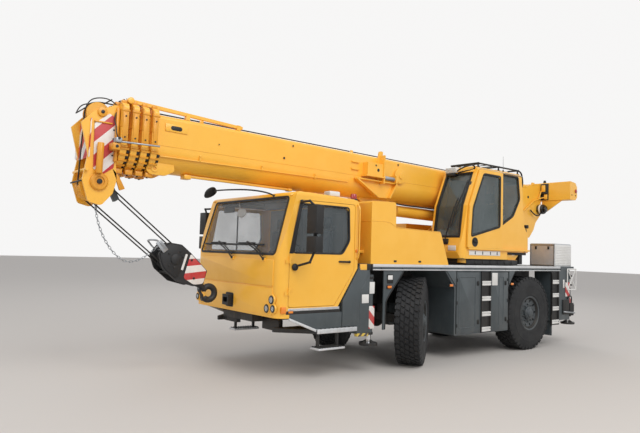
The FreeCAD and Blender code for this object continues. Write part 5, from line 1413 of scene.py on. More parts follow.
def dressCraneRoof():
    top, outer, inner = craneCab["top"], craneCab["outer"], craneCab["inner"]
    steel = []
    for y in (inner + 0.08, outer - 0.08):
        steel.append(addPath("guardEnd", [(-3.33, y, top + 0.08), (-3.44, y, top + 0.07), (-3.5, y, top - 0.05),
                                          (-3.52, y, top - 0.22), (-3.44, y, top - 0.3)], 0.016))
        for x in (-1.974, -2.645, -3.316):
            steel.append(addTurned("guardFoot", [(0.0, 0.0), (0.036, 0.0), (0.036, 0.006), (0.016, 0.01),
                                                 (0.0, 0.01)], "z", (x, y, top - 0.001), 20))
    for y in (inner + 0.08, outer - 0.08):
        steel.append(addTube("guardRail", (-3.335, y, top + 0.08), (-1.955, y, top + 0.08), 0.0165, 18))
        for x in (-1.974, -2.645, -3.316):
            steel.append(addTube("guardPost", (x, y, top), (x, y, top + 0.08), 0.0165, 18))
    for x in (-1.96, -1.974, -2.645, -3.316, -3.33):
        steel.append(addTube("guardBar", (x, inner + 0.06, top + 0.08), (x, outer - 0.06, top + 0.08), 0.0165, 18))
    for x in (-2.1, -2.3, -2.5):
        steel.append(addTube("guardBar", (x, inner + 0.08, top + 0.08), (x, outer - 0.08, top + 0.08), 0.008, 12))
    aerial = [addTube("craneAerial", (-2.79, 1.13, top), (-2.79, 1.13, top + 0.31), 0.004, 8, 0, 0.002),
              addTube("aerialFoot", (-2.79, 1.13, top - 0.01), (-2.79, 1.13, top + 0.03), 0.014, 16, 0.003)]
    hatch = addFrame("roofPaneGasket", [(-2.03, 0.51), (-2.03, 1.11), (-2.9, 1.11), (-2.9, 0.51)], "z", top - 0.006,
                     top + 0.01, 0.035, 0.05, 0.003)
    unit = addBlock("coolerBox", (-3.3, -2.94), (0.5, 0.92), (top - 0.01, top + 0.09), 0.03)
    vents = [addBlock("coolerVent", (-3.27, -2.97), (0.56 + n * 0.05, 0.58 + n * 0.05), (top + 0.085, top + 0.093),
                      0.002) for n in range(7)]
    finishMany([("craneRoofGuard", steel, finishes["blackSteel"], "black_steel"),
                ("craneAerial", aerial, finishes["gasket"], "black_steel"),
                ("roofPaneGasket", [hatch] + vents, finishes["gasket"], "cab_trim"),
                ("coolerBox", [unit], finishes["signWhite"], "yellow_paint")], "upper_works")


def dressCraneRear():
    red = addBlock("sideMarker", (-3.5, -3.44), (1.196, 1.214), (1.99, 2.04), 0.005)
    lamp = addBlock("rearLampHead", (-3.6, -3.52), (1.14, 1.22), (2.49, 2.56), 0.012)
    lampArm = addPath("rearLampArm", [(-3.57, 1.17, 2.5), (-3.58, 1.17, 2.42), (-3.6, 1.17, 2.32)], 0.009)
    # Black plates under the cab's rear and along its foot paint the shadow gaps between the crane cab and the
    # turntable; the two gaskets joined with them are real
    under = addBlock("cabUndersideShadow", (-3.6, -2.86), (0.46, 1.16), (1.93, 1.982), 0.006)
    beam = addPlate("cabBeam", [(-2.86, 1.832), (-3.25, 1.832), (-3.36, 1.925), (-2.86, 1.925)], "y", 0.98, 1.13, 0.008,
                    0.005)
    farBeam = copyPiece(beam, "cabBeam", (0, -0.5, 0))
    shadowGap = addBlock("cabShadowGap", (-2.9, -1.44), (0.44, 1.19), (1.818, 1.834), 0.003)
    inner = addFrame("innerGasket", [(-1.68, 2.38), (-3.25, 2.38), (-3.22, 3.44), (-1.98, 3.44)], "y", 0.412, 0.424,
                     0.035, 0.05, 0.003)
    back = addFrame("backGasket", [(0.49, 2.57), (1.13, 2.57), (1.13, 3.44), (0.49, 3.44)], "x", -0.006, 0.006, 0.035,
                    0.04, 0.003)
    turnPiece(back, 6.1, "Y", (0, 0, 2.57))
    back.data.transform(Matrix.Translation((-3.458, 0, 0)))
    finishMany([("craneSideMarker", [red], finishes["redLens"], "lamp_plastic"),
                ("craneRearLamp", [lamp, lampArm], finishes["gasket"], "black_steel"),
                ("craneCabShadowAndGaskets", [under, shadowGap, inner, back], finishes["gasket"], "cab_trim"),
                ("craneCabBeams", [beam, farBeam], finishes["yellowPaint"], "yellow_paint")], "upper_works")


def addCushion(name, x, y, z, crown, along="z"):
    # A crowned pad: a fine box whose broad faces swell and whose sides draw in
    piece = addBlock(name, x, y, z)
    pickPiece(piece)
    bpy.ops.object.mode_set(mode="EDIT")
    bpy.ops.mesh.select_all(action="SELECT")
    bpy.ops.mesh.subdivide(number_cuts=9)
    bpy.ops.object.mode_set(mode="OBJECT")
    middle = Vector((sum(x) / 2, sum(y) / 2, sum(z) / 2))
    half = Vector(((x[1] - x[0]) / 2, (y[1] - y[0]) / 2, (z[1] - z[0]) / 2))
    thick = "xyz".index(along)
    broad = [axis for axis in range(3) if axis != thick]
    for vertex in piece.data.vertices:
        share = [(vertex.co[axis] - middle[axis]) / half[axis] for axis in range(3)]
        swell = (1 - share[broad[0]] ** 2) * (1 - share[broad[1]] ** 2)
        edge = 1 - 0.28 * max(abs(share[broad[0]]), abs(share[broad[1]])) ** 8
        vertex.co[thick] = middle[thick] + (vertex.co[thick] - middle[thick]) * edge
        vertex.co[thick] += crown * swell * share[thick]
        for axis in broad:
            vertex.co[axis] -= share[axis] ** 9 * 0.02 * (abs(share[thick]) ** 2)
    applyModifier(piece, "SUBSURF", levels=1, render_levels=1)
    return recalcNormals(piece)


def addSeat(name, place, width, body, lean=6.0, scale=1.0):
    # Squab, back, head rest and piping round the squab, facing forward with its hips at the given place
    half = width / 2
    squab = addCushion("squab", (-0.24, 0.27), (-half, half), (-0.13, 0.0), 0.022)
    sides = [addCushion("bolster", (-0.22, 0.26), sorted((side * (half - 0.07), side * (half + 0.02))), (-0.11, 0.03),
                        0.01) for side in (-1, 1)]
    back = addCushion("seatBack", (-0.36, -0.24), (-half + 0.01, half - 0.01), (-0.02, 0.62), 0.02, "x")
    head = addCushion("headRest", (-0.365, -0.265), (-half * 0.55, half * 0.55), (0.66, 0.86), 0.016, "x")
    for piece in (back, head):
        turnPiece(piece, -lean, "Y", (-0.24, 0, 0))
    stem = addTube("headStem", (-0.34, 0, 0.6), (-0.4, 0, 0.72), 0.012, 12)
    pads = {"Squab": joinPieces("squab", [squab] + sides), "Back": back, "Head": head}
    for part, piece in pads.items():
        piece.data.transform(Matrix.Diagonal((scale, scale, scale, 1)))
        piece.data.transform(Matrix.Translation(place))
        piece.name = name + part
        finishPiece(piece, finishes["seatCloth"], body, 60)
    seamRoute = [(-0.2, -half + 0.09, 0.018), (0.2, -half + 0.09, 0.018), (0.2, half - 0.09, 0.018),
                 (-0.2, half - 0.09, 0.018)]
    seam = addPath("seatSeam", seamRoute, 0.0035, 2, 1, 4, True)
    for piece in (seam, stem):
        piece.data.transform(Matrix.Diagonal((scale, scale, scale, 1)))
        piece.data.transform(Matrix.Translation(place))
    return [seam, stem]


def dressCraneInside():
    y, floor = 0.81, craneCab["floor"] + 0.04
    trim = addSeat("craneSeat", (-2.42, y, 2.33), 0.4, "upper_works")
    shell = [addBlock("seatBox", (-2.62, -2.26), (y - 0.17, y + 0.17), (floor, 2.12), 0.02),
             addBlock("seatSlide", (-2.66, -2.2), (y - 0.19, y + 0.19), (2.12, 2.19), 0.01)]
    for side in (-1, 1):
        shell.append(addBlock("armConsole", (-2.68, -2.17), (y + side * 0.25 - 0.045, y + side * 0.25 + 0.045),
                              (2.14, 2.52), 0.03, 4))
        shell.append(addBlock("consoleFoot", (-2.6, -2.35), (y + side * 0.25 - 0.035, y + side * 0.25 + 0.035),
                              (floor, 2.16), 0.01))
        stickX, stickY = -2.23, y + side * 0.25
        shell.append(addTurned("stickBoot", [(0.0, 0.0), (0.036, 0.0), (0.03, 0.012), (0.022, 0.02), (0.018, 0.03),
                                             (0.011, 0.04), (0.0, 0.04)], "z", (stickX, stickY, 2.518), 24))
        shell.append(addTube("stickShaft", (stickX, stickY, 2.55), (stickX + 0.008, stickY, 2.61), 0.007, 10))
        shell.append(addBlock("stickGrip", (stickX - 0.012, stickX + 0.028), (stickY - 0.022, stickY + 0.022),
                              (2.6, 2.71), 0.014, 4))
    shell.append(addBlock("dashHood", (-1.72, -1.56), (0.5, 1.12), (2.12, 2.2), 0.02, 3))
    shell.append(addBlock("dashBase", (-1.68, -1.58), (0.56, 1.06), (floor, 2.13), 0.015))
    shell.append(addTube("screenPost", (-1.72, 1.04, 2.18), (-1.76, 1.02, 2.66), 0.014, 14))
    for z, size in ((2.66, 0.2), (2.9, 0.17)):
        shell.append(addBlock("display", (-1.8, -1.75), (0.92, 1.12), (z, z + size), 0.012))
    shell.append(addBlock("doorPost", (-1.79, -1.72), (1.1, 1.15), (2.2, 3.3), 0.01))
    for dy in (-0.12, 0.06, 0.2):
        shell.append(addPlate("pedal", [(-1.84, floor + 0.02), (-1.75, floor + 0.13), (-1.74, floor + 0.11),
                                        (-1.83, floor)], "y", y + dy - 0.035, y + dy + 0.035, 0, 0.004))
    blind = addTube("blindRoll", (-1.87, 0.5, 3.48), (-1.87, 1.1, 3.48), 0.026, 20, 0.004)
    interior = joinPieces("craneSeatFrame", shell + trim + [blind])
    finishPiece(interior, finishes["cabTrim"], "upper_works")
    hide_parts("crane_seat")
    screens = [addPlate("displayFace", [(0.935, z + 0.015), (1.105, z + 0.015), (1.105, z + size - 0.015),
                                        (0.935, z + size - 0.015)], "x", -1.803, -1.8, 0.006)
               for z, size in ((2.66, 0.2), (2.9, 0.17))]
    finishPiece(joinPieces("craneDisplays", screens), finishes["mirrorGlass"], "upper_works")


dressCraneScreen()
dressCraneDoor()
dressCraneRoof()
dressCraneRear()
dressCraneInside()
print("crane cab dressed")


# The deck's edge, lockers, guards, jacks and boards

deckPlan = {
    "side": 1.25, "railTop": 1.71, "railLow": 1.61, "railFront": 0.93, "railRear": -4.79,
    "lockerLatches": [(-1.828, 1.375), (-1.844, 0.658), (-2.718, 1.373), (-2.732, 0.667)],
    "markers": [(-1.041, 1.347), (-2.942, 1.351), (0.529, 1.342)],
    "frontTreads": [1.33, 1.042, 0.754, 0.466], "rearTreads": [1.33, 1.045, 0.76, 0.475],
}


def dressRails():
    side, top, low = deckPlan["side"], deckPlan["railTop"], deckPlan["railLow"]
    front, rear = deckPlan["railFront"], deckPlan["railRear"]
    pale, channelShade, feet = [], [], []
    pale += onBothSides(lambda: addBlock("railBand", (rear, front), (side + 0.017, side + 0.026),
                                        (top - 0.046, top - 0.002), 0.003))
    pale += onBothSides(lambda: addBlock("railLine", (rear, front), (side + 0.017, side + 0.025),
                                        (low + 0.004, low + 0.018), 0.002))
    # A grey strip sunk between the pale bands paints the shade inside the rail's channel
    channelShade += onBothSides(lambda: addBlock("railChannelShade", (rear + 0.002, front - 0.002), (side + 0.016, side + 0.0215),
                                        (low + 0.018, top - 0.046)))
    for n in range(12):
        x = front - 0.2 - n * 0.49
        feet += onBothSides(lambda: addTube("railBolt", (x, side + 0.02, top - 0.065), (x, side + 0.031, top - 0.065),
                                           0.011, 6, 0.002))
    for x in (front, rear):
        feet += onBothSides(lambda: addBlock("railEnd", (x - 0.012, x + 0.012), (side, side + 0.028), (low, top),
                                            0.004))
    finishMany([("railBands", pale, finishes["bareAluminium"], "bare_aluminium"),
                ("railChannelShades", channelShade, finishes["greyPaint"], "dark_grey_paint"),
                ("railFasteners", feet, finishes["blackSteel"], "black_steel")], "carrier")


def dressTreads():
    side = deckPlan["side"]
    pale, dark = [], []
    for span, rows, front in (((-2.217, -1.938), deckPlan["frontTreads"], True),
                              ((-4.712, -4.433), deckPlan["rearTreads"], False)):
        # The treads and their teeth take flat white paint that stands in for the light they reflect: painted highlight
        for low in rows:
            for z in (low + 0.006, low + 0.052):
                pale += onBothSides(lambda: addBlock("tread", span, (side + 0.004, side + 0.032), (z, z + 0.036),
                                                    0.003))
            for n in range(6):
                x = span[0] + 0.03 + n * 0.044
                pale += onBothSides(lambda: addBlock("treadTooth", (x - 0.005, x + 0.005), (side + 0.018, side + 0.036),
                                                    (low + 0.068, low + 0.082), 0.001))
        for x in span:
            dark += onBothSides(lambda: addBlock("ladderSide", (x - 0.012, x + 0.012), (side - 0.002, side + 0.03),
                                                (0.45, 1.606), 0.004))
    # Dark plates behind the treads paint the shade inside the ladder recesses
    dark += onBothSides(lambda: addPlate("treadRecessShadow", [(-2.226, 0.45), (-1.932, 0.45), (-1.932, 1.604),
                                                        (-2.226, 1.604)], "y", side - 0.002, side + 0.003, 0.01))
    dark += onBothSides(lambda: addPlate("treadRecessShadow", [(-4.722, 0.45), (-4.422, 0.45), (-4.422, 1.604),
                                                        (-4.722, 1.604)], "y", side - 0.003, side + 0.002, 0.01))
    dark += onBothSides(lambda: addPath("ladderHandle", [(-4.4, side + 0.01, 0.62), (-4.4, side + 0.045, 0.66),
                                                        (-4.4, side + 0.05, 0.8), (-4.4, side + 0.05, 1.45),
                                                        (-4.4, side + 0.045, 1.57), (-4.4, side + 0.01, 1.605)],
                                       0.011))
    finishMany([("treadGripsPaintedSheen", pale, finishes["signWhite"], "bare_aluminium"),
                ("ladderSidesAndShadow", dark, finishes["gasket"], "black_steel")], "carrier")


def dressLockers():
    side = deckPlan["side"]
    paint, dark, plates, amber = [], [], [], []
    for corners in ([(-1.205, 0.475), (-1.92, 0.475), (-1.92, 1.585), (-1.205, 1.585)],
                    [(-2.24, 0.475), (-2.805, 0.475), (-2.805, 1.585), (-2.24, 1.585)],
                    [(-0.885, 1.64), (-1.178, 1.64), (-1.178, 1.33)],
                    [(-3.065, 1.64), (-2.845, 1.64), (-2.845, 1.33)]):
        paint += onBothSides(lambda: addPlate("lockerDoor", corners, "y", side - 0.003, side + 0.012, 0.014, 0.004))
    # Pressed panels on the two doors, and the drip lip over them
    for corners in ([(-1.27, 0.56), (-1.76, 0.56), (-1.76, 1.5), (-1.27, 1.5)],
                    [(-2.5, 0.56), (-2.66, 0.56), (-2.66, 1.5), (-2.5, 1.5)]):
        paint += onBothSides(lambda: addFrame("lockerPressing", corners, "y", side + 0.008, side + 0.017, 0.016, 0.03,
                                             0.003))
    paint += onBothSides(lambda: addBlock("dripLip", (-2.83, -1.19), (side, side + 0.022), (1.592, 1.604), 0.004))
    for x in (-1.192, -2.825):
        dark += onBothSides(lambda: addBlock("lockerSeam", (x - 0.006, x + 0.006), (side - 0.001, side + 0.0035),
                                            (0.47, 1.6)))
    for x, z in deckPlan["lockerLatches"]:
        dark += onBothSides(lambda: addPlate("latchCup", [(x - 0.032, z - 0.045), (x + 0.032, z - 0.045),
                                                         (x + 0.032, z + 0.045), (x - 0.032, z + 0.045)], "y",
                                            side + 0.01, side + 0.018, 0.02, 0.002))
        dark += onBothSides(lambda: addBlock("latchLever", (x - 0.012, x + 0.012), (side + 0.016, side + 0.028),
                                            (z - 0.034, z + 0.02), 0.004))
    for x in (-1.215, -2.79):
        for z in (0.62, 1.03, 1.44):
            dark += onBothSides(lambda: addTube("lockerHinge", (x, side + 0.014, z - 0.03), (x, side + 0.014, z + 0.03),
                                               0.009, 12, 0.002))
    plates += onBothSides(lambda: addPlate("blankPlate", [(-2.27, 1.33), (-2.45, 1.33), (-2.45, 1.57), (-2.27, 1.57)],
                                          "y", side + 0.011, side + 0.015, 0.01, 0.001))
    for x, z in deckPlan["markers"]:
        dark += onBothSides(lambda: addBlock("markerBase", (x - 0.055, x + 0.055), (side - 0.002, side + 0.012),
                                            (z - 0.028, z + 0.028), 0.006))
        amber += onBothSides(lambda: addBlock("marker", (x - 0.045, x + 0.045), (side + 0.01, side + 0.026),
                                             (z - 0.02, z + 0.02), 0.008, 3))
    finishMany([("lockerDoors", paint, finishes["greyPaint"], "dark_grey_paint"),
                ("lockerHardware", dark, finishes["gasket"], "black_steel"),
                ("lockerBlankPlates", plates, finishes["signWhite"], "bare_aluminium"),
                ("sideMarkers", amber, finishes["amberLens"], "lamp_plastic")], "carrier")


def dressGuards():
    side = deckPlan["side"]
    grey, pale, dark, stripes, amber = [], [], [], [], []
    shell = [(0.968, 0.64), (1.225, 0.64), (1.225, 0.76), (1.52, 0.76), (1.52, 1.15), (1.25, 1.57), (1.2, 1.64),
             (0.968, 1.64)]
    grey.append(addPlate("guardShell", shell, "y", 1.07, side + 0.012, 0.012, 0.005))
    grey.append(addPlate("guardFace", [(0.86, 0.66), (side, 0.66), (side, 1.22), (0.86, 1.22)], "x", 1.196, 1.228,
                         0.02, 0.005))
    for z in (0.78, 0.92, 1.06):
        grey.append(addBlock("guardRib", (1.222, 1.236), (0.9, side - 0.03), (z - 0.008, z + 0.008), 0.003))
    grey.append(addPath("guardEdge", [(0.975, side + 0.012, 1.635), (0.985, side + 0.013, 1.56),
                                      (1.05, side + 0.013, 1.42), (1.159, side + 0.013, 1.293),
                                      (1.165, side + 0.012, 1.1), (1.165, side + 0.012, 0.66)], 0.006))
    pale.append(addPlate("guardPlate", [(0.985, 1.1), (1.13, 1.1), (1.13, 1.235), (0.985, 1.235)], "y", side + 0.011,
                         side + 0.015, 0.008, 0.001))
    stripes.append(addPlate("guardBand", [(0.975, 0.586), (1.216, 0.592), (1.216, 0.64), (0.975, 0.634)], "y",
                            side - 0.05, side + 0.012, 0, 0.003))
    amber.append(addBlock("deckMarker", (1.035, 1.18), (side - 0.05, side + 0.016), (1.612, 1.706), 0.012, 3))
    dark.append(addBlock("deckMarkerBase", (0.94, 1.03), (side - 0.04, side + 0.02), (1.614, 1.704), 0.01))
    # Blank plate and its frame on the front fender
    dark += onBothSides(lambda: addPlate("fenderPlate", [(0.44, 1.4), (0.575, 1.4), (0.575, 1.545), (0.44, 1.545)],
                                        "y", side - 0.002, side + 0.008, 0.01, 0.002))
    pale += onBothSides(lambda: addPlate("fenderBlank", [(0.455, 1.46), (0.56, 1.46), (0.56, 1.53), (0.455, 1.53)],
                                        "y", side + 0.007, side + 0.011, 0.006, 0.001))
    dark += onBothSides(lambda: addTube("fenderStay", (0.614, side - 0.012, 0.66), (0.64, side - 0.012, 1.36), 0.012,
                                       16))
    dark += onBothSides(lambda: addPath("fenderEdge", [(0.18, side, 1.655), (0.185, side + 0.004, 1.61),
                                                      (0.22, side + 0.004, 1.56), (0.56, side + 0.004, 1.165),
                                                      (0.592, side + 0.004, 1.1), (0.603, side, 0.67)], 0.01, 2))
    finishMany([("guardShells", grey, finishes["greyPaint"], "dark_grey_paint"),
                ("guardBlanks", pale, finishes["signWhite"], "bare_aluminium"),
                ("fenderDress", dark, finishes["gasket"], "cab_trim"),
                ("guardBand", stripes, finishes["edgeStripes"], "yellow_paint"),
                ("deckMarker", amber, finishes["yellowPaint"], "yellow_paint")], "carrier")


def dressJacks():
    reach = 1.16 + 0.062
    for corner, side, x in (("front_left", 1, 0.88), ("front_right", -1, 1.08), ("rear_left", 1, -5.3),
                            ("rear_right", -1, -5.1)):
        plate = addPlate("plate", [(x - 0.055, 1.24), (x + 0.055, 1.24), (x + 0.055, 1.425), (x - 0.055, 1.425)], "y",
                         side * (reach - 0.004), side * (reach + 0.003), 0.008, 0.001)
        band = addPlate("band", [(x - 0.06, 0.69), (x + 0.06, 0.69), (x + 0.06, 1.045), (x - 0.06, 1.045)], "y",
                        side * (reach - 0.006), side * (reach + 0.004), 0.008, 0.001)
        collars = [addTurned("collar", [(0.058, z - 0.02), (0.07, z - 0.02), (0.072, z - 0.012), (0.072, z + 0.012),
                                        (0.07, z + 0.02), (0.058, z + 0.02)], "z", (x, side * 1.16, 0), 32)
                   for z in (0.615, 1.49)]
        stud = addTube("topNut", (x, side * 1.16, 1.535), (x, side * 1.16, 1.56), 0.03, 6, 0.004)
        body = "outrigger_beam_" + corner
        finishPiece(plate, finishes["signWhite"], body).name = "jackBlank_" + corner
        finishPiece(band, finishes["jackStripes"], body).name = "jackStripe_" + corner
        finishPiece(joinPieces("jackCollars_" + corner, collars + [stud]), finishes["blackSteel"], body)
        ribs = []
        for n in range(8):
            turn = math.radians(n * 45)
            rib = addPlate("padRib", [(0.045, 0.468), (0.125, 0.468), (0.06, 0.505), (0.045, 0.52)], "y", -0.006,
                           0.006, 0, 0.001)
            rib.data.transform(Matrix.Translation((x, side * 1.16, 0)) @ Matrix.Rotation(turn, 4, "Z"))
            ribs.append(rib)
        rim = addTurned("padRim", [(0.128, 0.426), (0.145, 0.426), (0.148, 0.44), (0.145, 0.472), (0.128, 0.472)], "z",
                        (x, side * 1.16, 0), 40)
        finishPiece(joinPieces("padRibs_" + corner, ribs + [rim]), finishes["blackSteel"], "outrigger_jack_" + corner)


def dressBoards():
    side = deckPlan["side"]
    bright, skirt, grip = [], [], []
    outer, inner = side + 0.04, side - 0.45
    deck = addPlate("runningBoard_left", [(1.238, inner), (1.238, outer), (2.01, outer), (2.01, inner)], "z", 0.684,
                    0.75, 0, 0.004)
    tread = addBlock("lowTread", (1.478, 1.982), (outer - 0.2, outer), (0.44, 0.47), 0.004)
    board = joinPieces("runningBoard_left", [deck, tread])
    twin = mirrorPiece(board, "runningBoard_right")
    for piece, node in ((board, "running_board_left"), (twin, "running_board_right")):
        finishPiece(piece, finishes["bareAluminium"], "carrier")
        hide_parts(node)
    nose = [(2.0, inner), (2.012, outer - 0.01), (2.47, inner + 0.06), (2.48, inner)]
    grip += onBothSides(lambda: addPlate("boardNose", nose, "z", 0.686, 0.748, 0.01, 0.004))
    for x in (1.4, 2.3):
        grip += onBothSides(lambda: addBlock("boardArm", (x, x + 0.08), (0.38, inner + 0.02), (0.684, 0.85), 0.006))
    for x in (1.53, 1.9):
        grip += onBothSides(lambda: addBlock("boardHanger", (x, x + 0.04), (outer - 0.13, outer - 0.09), (0.468, 0.686),
                                            0.004))
    bright += onBothSides(lambda: addPlate("skirtEdge", [(1.955, 0.716), (2.03, 0.716), (2.505, 0.9), (2.505, 0.936),
                                                        (2.02, 0.752), (1.955, 0.752)], "y", side - 0.01,
                                          side + 0.02, 0, 0.003))
    bright += onBothSides(lambda: addBlock("boardEdge", (1.25, 1.96), (outer - 0.002, outer + 0.008), (0.687, 0.747),
                                          0.004))
    for n in range(4):
        z = 0.7 + n * 0.0125
        bright += onBothSides(lambda: addBlock("edgeRib", (1.255, 1.955), (outer + 0.006, outer + 0.012),
                                              (z - 0.002, z + 0.002)))
    for n in range(9):
        x = 1.29 + n * 0.08
        grip += onBothSides(lambda: addBlock("boardGrip", (x - 0.012, x + 0.012), (side - 0.36, side + 0.02),
                                            (0.748, 0.7575), 0.003))
    skirt += onBothSides(lambda: addPlate("skirt", [(1.53, 0.752), (2.02, 0.752), (2.5, 0.93), (2.5, 0.986),
                                                   (1.53, 0.986)], "y", side - 0.02, side + 0.006, 0.01, 0.003))
    for n in range(10):
        x = 1.5 + n * 0.05
        grip += onBothSides(lambda: addPlate("lowTooth", [(x - 0.012, 0.469), (x + 0.012, 0.469), (x + 0.006, 0.484),
                                                         (x - 0.006, 0.484)], "y", side - 0.155, side + 0.035, 0,
                                            0.001))
    for x in (1.55, 1.92):
        grip += onBothSides(lambda: addTube("stepBolt", (x, side - 0.04, 0.72), (x, side - 0.09, 0.72), 0.014, 6))
    finishMany([("boardEdges", bright, finishes["bareAluminium"], "bare_aluminium"),
                ("cabSkirts", skirt, finishes["greyPaint"], "dark_grey_paint"),
                ("boardGrips", grip, finishes["blackSteel"], "black_steel")], "carrier")


dressRails()
dressTreads()
dressLockers()
dressGuards()
dressJacks()
dressBoards()
print("deck, lockers, guards and jacks dressed")


# The upper works' rear, the toolbox and the carrier's rear corner

def dressArmRear():
    paint, dark, pale, red = [], [], [], []
    # A thin black block on the counterweight's front paints the shadow in the gap between the arm and the weight
    dark += onBothSides(lambda: addBlock("weightGapShadow", (-5.452, -5.437), (0.402, 0.6), (3.262, 3.655), 0.004))
    paint += onBothSides(lambda: addBlock("weightLug", (-5.44, -5.395), (0.44, 0.53), (3.46, 3.62), 0.012))
    paint += onBothSides(lambda: addBlock("weightStay", (-5.44, -5.41), (0.5, 0.58), (3.28, 3.4), 0.01))
    dark += onBothSides(lambda: addTube("weightPin", (-5.415, 0.41, 3.43), (-5.415, 0.59, 3.43), 0.028, 20, 0.004))
    paint += onBothSides(lambda: addPlate("weightGusset", [(0.42, 3.262), (0.95, 3.262), (0.55, 3.0), (0.42, 2.93)],
                                         "x", -5.5, -5.465, 0.02, 0.005))
    for points in ([(-4.645, 0.425, 2.935), (-5.1, 0.425, 3.223), (-5.36, 0.43, 3.3), (-5.42, 0.54, 3.335)],
                   [(-5.31, 0.425, 3.29), (-5.36, 0.425, 3.37), (-5.42, 0.43, 3.49)]):
        paint += onBothSides(lambda: addPath("hydraulicPipe", points, 0.014, 2))
    motor = [addTube("winchMotor", (-5.35, 0.402, 3.04), (-5.35, 0.55, 3.04), 0.115, 32, 0.02),
             addTube("motorCap", (-5.35, 0.55, 3.04), (-5.35, 0.6, 3.04), 0.07, 28, 0.012),
             addPath("motorHose", [(-5.28, 0.5, 2.95), (-5.2, 0.5, 2.86), (-5.05, 0.46, 2.9), (-4.95, 0.43, 3.0)], 0.016)]
    for n in range(6):
        turn = math.tau * n / 6
        motor.append(addTube("motorBolt", (-5.35 + 0.092 * math.cos(turn), 0.545, 3.04 + 0.092 * math.sin(turn)),
                             (-5.35 + 0.092 * math.cos(turn), 0.562, 3.04 + 0.092 * math.sin(turn)), 0.01, 6))
    pale.append(addTube("motorBand", (-5.35, 0.455, 3.04), (-5.35, 0.5, 3.04), 0.1185, 32, 0.003))
    for span, z in (((-4.81, -4.7), (3.5, 3.585)), ((-5.17, -5.06), (3.58, 3.662))):
        paint += onBothSides(lambda: addBlock("armLug", span, (0.372, 0.408), z, 0.012))
    # Black discs on the arm's side plates paint the shade inside its holes
    for x, z in ((-2.75, 2.55), (-3.3, 2.85), (-4.3, 3.3), (-4.9, 3.3)):
        dark += onBothSides(lambda: addTube("armHoleShadow", (x, 0.398, z), (x, 0.4045, z), 0.03, 24))
    dark.append(addTurned("weightBeacon", [(0.0, 0.0), (0.034, 0.0), (0.034, 0.02), (0.026, 0.06), (0.0, 0.07)], "z",
                          (-5.5, 0.47, 3.678), 24))
    red += onBothSides(lambda: addTube("weightLamp", (-5.705, 1.126, 3.46), (-5.705, 1.15, 3.46), 0.042, 24, 0.006))
    for x in (-5.7, -5.53):
        dark += onBothSides(lambda: addTube("weightBolt", (x, 1.128, 3.36), (x, 1.138, 3.36), 0.016, 6, 0.002))
    finishMany([("armRearSteel", paint, finishes["yellowPaint"], "yellow_paint"),
                ("armRearFittingsAndShade", dark, finishes["blackSteel"], "black_steel"),
                ("winchMotor", motor, finishes["gloss"], "black_steel"),
                ("winchMotorBand", pale, finishes["signWhite"], "bare_aluminium"),
                ("weightLamps", red, finishes["redLens"], "lamp_plastic")], "upper_works")


def dressTurntableBase():
    # Black bands round the turntable base under the crane cab paint the shadow there; the battery box beside them is a
    # dark fitting
    dark = [addBlock("baseShadeBand", (-3.285, -1.6), (1.149, 1.157), (1.72, 1.824), 0.002),
            addBlock("baseShadeBand", (-3.285, -1.6), (-1.107, -1.099), (1.72, 1.824), 0.002),
            addBlock("baseShadeFront", (-1.502, -1.493), (-0.98, 1.03), (1.72, 1.824), 0.002),
            addPlate("baseShadeCorner", [(-3.3, 1.15), (-3.292, 1.158), (-3.905, 0.428), (-3.9, 0.418)], "z", 1.72, 1.824),
            addBlock("batteryBox", (-3.62, -3.5), (0.94, 1.06), (1.74, 1.93), 0.008)]
    for n in range(6):
        dark.append(addBlock("baseClamp", (-1.9 - n * 0.24, -1.86 - n * 0.24), (1.154, 1.166), (1.735, 1.8), 0.004))
    finishPiece(joinPieces("turntableShadeAndBox", dark), finishes["blackSteel"], "upper_works")


def dressToolbox():
    front, rear, near, far, low, high = -4.67, -5.37, 1.2, 0.6, 1.71, 2.2
    silver = [addFrame("toolboxFrame", [(far + 0.01, low + 0.01), (near - 0.01, low + 0.01),
                                        (near - 0.01, high - 0.01), (far + 0.01, high - 0.01)], "x", front - 0.004,
                       front + 0.008, 0.022, 0.01, 0.002),
              addFrame("toolboxLid", [(rear + 0.01, far + 0.01), (front - 0.01, far + 0.01),
                                      (front - 0.01, near - 0.01), (rear + 0.01, near - 0.01)], "z", high - 0.004,
                       high + 0.01, 0.03, 0.01, 0.003)]
    side = [addBlock("toolboxSide", (rear + 0.012, front - 0.012), (near - 0.002, near + 0.004),
                     (low + 0.012, high - 0.012), 0.002)]
    for n in range(12):
        z = low + 0.03 + n * 0.036
        side.append(addBlock("toolboxRib", (rear + 0.02, front - 0.02), (near + 0.003, near + 0.009), (z, z + 0.016),
                             0.003))
    catches = [addBlock("toolboxCatch", (front - 0.002, front + 0.016), (y - 0.02, y + 0.02), (high - 0.12, high - 0.05),
                        0.006) for y in (0.75, 1.05)]
    finishMany([("toolboxFrames", silver, finishes["galvanised"], "bare_aluminium"),
                ("toolboxSide", side, finishes["signWhite"], "bare_aluminium"),
                ("toolboxCatches", catches, finishes["gasket"], "black_steel")], "carrier")


